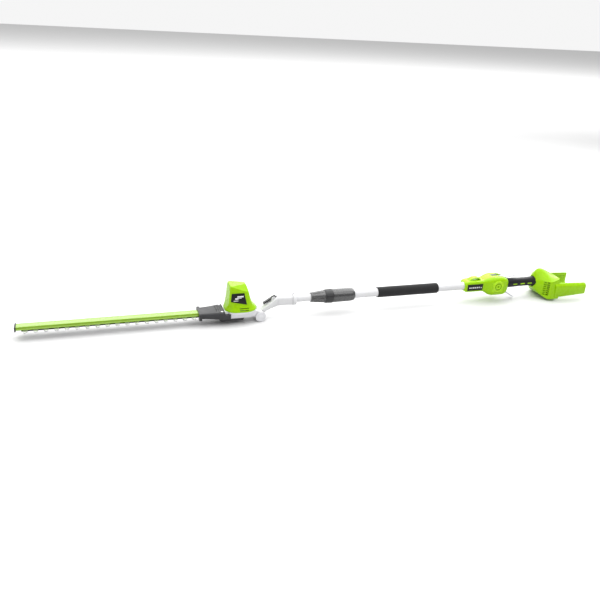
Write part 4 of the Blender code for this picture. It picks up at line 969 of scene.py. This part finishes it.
# ---- rubber grip -----------------------------------------------------------------------------------------
# station, radius
GRIP_WAIST = ((1655.0, 16.6), (1682.0, 15.6), (1708.0, 15.9), (1728.0, 17.2), (1738.0, 18.6))
GRIP_BORE = 12.8
INLAY_STATIONS = [1651.5 + 30.5 * i for i in range(3)]
# half length, underside, top, corner radius, nearest and farthest from the middle plane
POCKET = (9.5, -4.4, 0.6, 2.3, 14.2, 20.0)
INLAY = (9.2, -4.1, 0.3, 2.1, 13.8, 15.5)


def grip_plug(bm, side, station, half, low, high, radius, near, far):
    outline = rounded(station - half, station + half, low, high, radius, 5)
    side_prism(bm, outline, *sorted((side * near, side * far)))


def grip_pockets(bm):
    for side, _ in SIDES:
        for station in INLAY_STATIONS:
            grip_plug(bm, side, station, *POCKET)


def make_grip():
    low, high = local("grip_sleeve")
    front = ((low.x, 16.2), (low.x + 1.5, 17.0), (low.x + 5, 17.2))
    rear = ((high.x - 3, 19.2), (high.x - 1, 18.8), (high.x, 17.8))
    profile = smooth_rows((*front, *GRIP_WAIST, *rear), 4) + [(high.x, GRIP_BORE), (low.x, GRIP_BORE)]
    grip = drawn("grip_rubber", turned, "X", ON_AXIS, profile, 80)
    combine(grip, grip_pockets)
    soften(grip, width=0.35, segments=2, angle=35.0)
    stand_for(grip, "grip_sleeve")
    for side, word in SIDES:
        for i, station in enumerate(INLAY_STATIONS, 1):
            inlay = drawn(f"grip_inlay_{word}_{i}", grip_plug, side, station, *INLAY)
            detail(soften(inlay, width=0.3, segments=2), "handle", "green_plastic")


# ---- battery housing -------------------------------------------------------------------------------------
# station, half width, how far the roof's edge stands inside it, underside, roof's edge, ridge
BATTERY_STATIONS = (
    (1731.0, 16.0, 0.5, -23.0, 6.0, 12.0),
    (1733.0, 18.0, 0.5, -25.0, 8.0, 25.0),
    (1735.5, 20.6, 0.5, -27.5, 9.0, 33.0),
    (1738.5, 23.8, 0.6, -30.2, 9.6, 39.0),
    (1742.0, 27.6, 0.8, -33.4, 10.0, 42.8),
    (1747.0, 33.2, 1.2, -37.8, 10.5, 45.6),
    (1753.0, 39.8, 1.8, -42.8, 11.0, 46.8),
    (1760.0, 47.6, 2.6, -48.2, 11.5, 46.4),
    (1765.5, 53.6, 3.2, -51.6, 12.0, 45.0),
    (1767.5, 55.4, 3.4, -52.4, 12.2, 44.3),
    (1773.0, 59.0, 4.0, -53.0, 12.6, 42.0),
    (1776.0, 60.4, 4.4, -53.0, 12.9, 40.6),
    (1783.0, 61.1, 5.2, -53.0, 13.8, 37.2),
    (1795.0, 61.2, 7.5, -53.0, 17.4, 31.0),
    (1810.0, 61.2, 10.5, -53.0, 22.0, 23.6),
)
CREST = 0.22  # how round the ridge is
BATTERY_WALL, HOLLOW_FROM, HOLLOW_TO, HOLLOW_END = 2.5, 1765.0, 1800.0, 1804.0
GRIP_SEAT = ((1700.0, 0), (1700.0, 19.5), (1744.3, 19.5), (1744.3, 12.8), (1785.0, 12.8), (1785.0, 0))
LOUVRE_COLUMNS = ((1757.0, 44.2), (1764.6, 52.7))
LOUVRE_COUNT, LOUVRE_TOP, LOUVRE_PITCH, LOUVRE_HEIGHT = 7, 5.8, 7.3, 4.0
LOUVRE_REACH, LOUVRE_DEPTH, LOUVRE_SLANT = 4.8, (-5.0, 8.0), radians(48)
TERMINAL_WINDOW = ((1795.0, 1830.0), (-13.0, 13.0), (-26.0, -8.0))
# the grooves that hold the battery, and the ribs near the arms' ends, on the arms' inner faces
RAIL_START, RAIL_ACROSS, RAIL_HEIGHTS = 1816.0, (48.0, 52.6), ((-13.0, -10.0), (-22.0, -19.0))
RIB_WIDTH, RIB_ACROSS, RIB_HEIGHTS, RIBS_FROM_END = 2.0, (48.0, 51.6), (-33.0, -26.0), (30, 22, 14)
BATTERY_REACH = (1700, 2100)


def body_outline(half, lean, low, edge, ridge, steps=28):
    """Flat bottom, upright sides and a roof of two flat slopes that meet in a round crest."""
    r = min(5.0, half / 3)
    points = []
    for turn, sign in ((180, -1), (270, 1)):
        for angle in (radians(turn + 18 * i) for i in range(6)):
            points.append((sign * (half - r) + r * cos(angle), low + r + r * sin(angle)))
    deepest = (1 + CREST ** 2) ** 0.5
    for i in range(steps + 1):
        t = 1 - 2 * i / steps
        rise = (deepest - (t * t + CREST ** 2) ** 0.5) / (deepest - CREST)
        points.append(((half - lean) * t, edge + (ridge - edge) * rise))
    return points


def battery_arms(bm, end):
    """Each arm: a tall inner rail, a lower shelf outside it, and a narrow ledge at its foot in the bay."""
    # station, top of the rail, top of the shelf, underside
    rows = (
        (1792.0, 6.0, -2.4, -46.6),
        (1815.0, 5.6, -3.0, -45.6),
        (end - 2.5, 0.6, -6.6, -40.6),
        (end, -0.4, -7.6, -39.4),
    )
    for side, _ in SIDES:
        loops = []
        for station, rail, shelf, low in rows:
            outline = [(50.0, low + 6), (50.0, rail), (53.6, rail), (54.2, rail - 0.3)]
            outline += [(61.1, shelf + 0.6), (61.5, shelf - 0.4), (61.5, low + 4.0), (60.0, low + 1.0)]
            outline += [(57.0, low), (46.6, low + 0.4), (46.6, low + 3.0)]
            loops.append(across(station, [(side * y, z) for y, z in outline]))
        loft(bm, loops)


def battery_hollow():
    def inside(row, roof):
        _, half, lean, low, edge, ridge = row
        return body_outline(half - BATTERY_WALL, lean, low + BATTERY_WALL, edge - roof, ridge - roof)

    rows = [row for row in BATTERY_STATIONS if HOLLOW_FROM < row[0] < HOLLOW_TO]
    loops = [across(row[0], inside(row, BATTERY_WALL)) for row in rows]
    return loops + [across(HOLLOW_END, inside(BATTERY_STATIONS[-1], 3.0))]


def battery_louvres(bm):
    """Two columns of slots in the slanting face at the front of each side."""
    for side, _ in SIDES:
        depth = [side * y for y in LOUVRE_DEPTH]
        for station, y in LOUVRE_COLUMNS:
            turn = Matrix.Rotation(side * LOUVRE_SLANT, 4, "Z")
            slanted = Matrix.Translation((station, side * y, 0)) @ turn
            for i in range(LOUVRE_COUNT):
                low = LOUVRE_TOP - LOUVRE_PITCH * i
                first, last = block(bm, (-LOUVRE_REACH, LOUVRE_REACH), depth, (low, low + LOUVRE_HEIGHT))
                bmesh.ops.transform(bm, matrix=slanted, verts=first + last)


def make_battery_housing():
    end = local("battery_housing_left")[1].x
    loops = [across(row[0], body_outline(*row[1:])) for row in BATTERY_STATIONS]
    shell = drawn("battery_source", loft, loops)
    combine(shell, battery_arms, end, operation="UNION")
    combine(shell, battery_louvres)
    combine(shell, loft, battery_hollow())
    combine(shell, turned, "X", ON_AXIS, GRIP_SEAT, 72)
    combine(shell, block, *TERMINAL_WINDOW)
    rails = [((RAIL_START, end - 8), RAIL_ACROSS, z) for z in RAIL_HEIGHTS]
    combine(shell, blocks, mirrored(rails))
    ribs = [((end - s, end - s + RIB_WIDTH), RIB_ACROSS, RIB_HEIGHTS) for s in RIBS_FROM_END]
    combine(shell, blocks, mirrored(ribs))
    part_in_halves(shell, "battery_half", "battery_housing", BATTERY_REACH, width=0.7, segments=2, angle=30.0)


# ---- CAD nodes that stay ---------------------------------------------------------------------------------
CAST_NODES = ("gear_housing", "gear_cover", "neck_casting", "neck_socket", "socket_ring")
SMALL_NODES = (
    "tip_plate", "badge_plate", "label_plate", "release_lever", "trigger", "lock_off_lever", "terminal_block",
)


def refine(node, width, segments):
    """Rounds a CAD node's edges with modifiers, after its flat faces have been made whole."""
    obj = frame["nodes"][node]
    weld = obj.modifiers.new("weld", "WELD")
    weld.merge_threshold = 1e-5
    flat = obj.modifiers.new("flat_faces", "DECIMATE")
    flat.decimate_type = "DISSOLVE"
    flat.angle_limit = radians(1.0)
    add_bevel(obj, width, segments, angle=30.0)
    obj.data.shade_smooth()


def finish_cad_nodes():
    for node, obj in frame["nodes"].items():
        obj.data.materials.clear()
        obj.data.materials.append(MATERIALS[SLOT_OF[node]])
    for node in CAST_NODES:
        refine(node, width=0.9, segments=3)
    for node in SMALL_NODES:
        refine(node, width=0.5, segments=2)


def main():
    make_camera()
    make_studio()
    finish_cad_nodes()
    make_blades()
    make_bar()
    make_guard()
    make_dome()
    make_tubes()
    make_collar()
    make_knuckle_caps()
    make_foam()
    make_handle()
    make_marks()
    make_grip()
    make_battery_housing()


main()
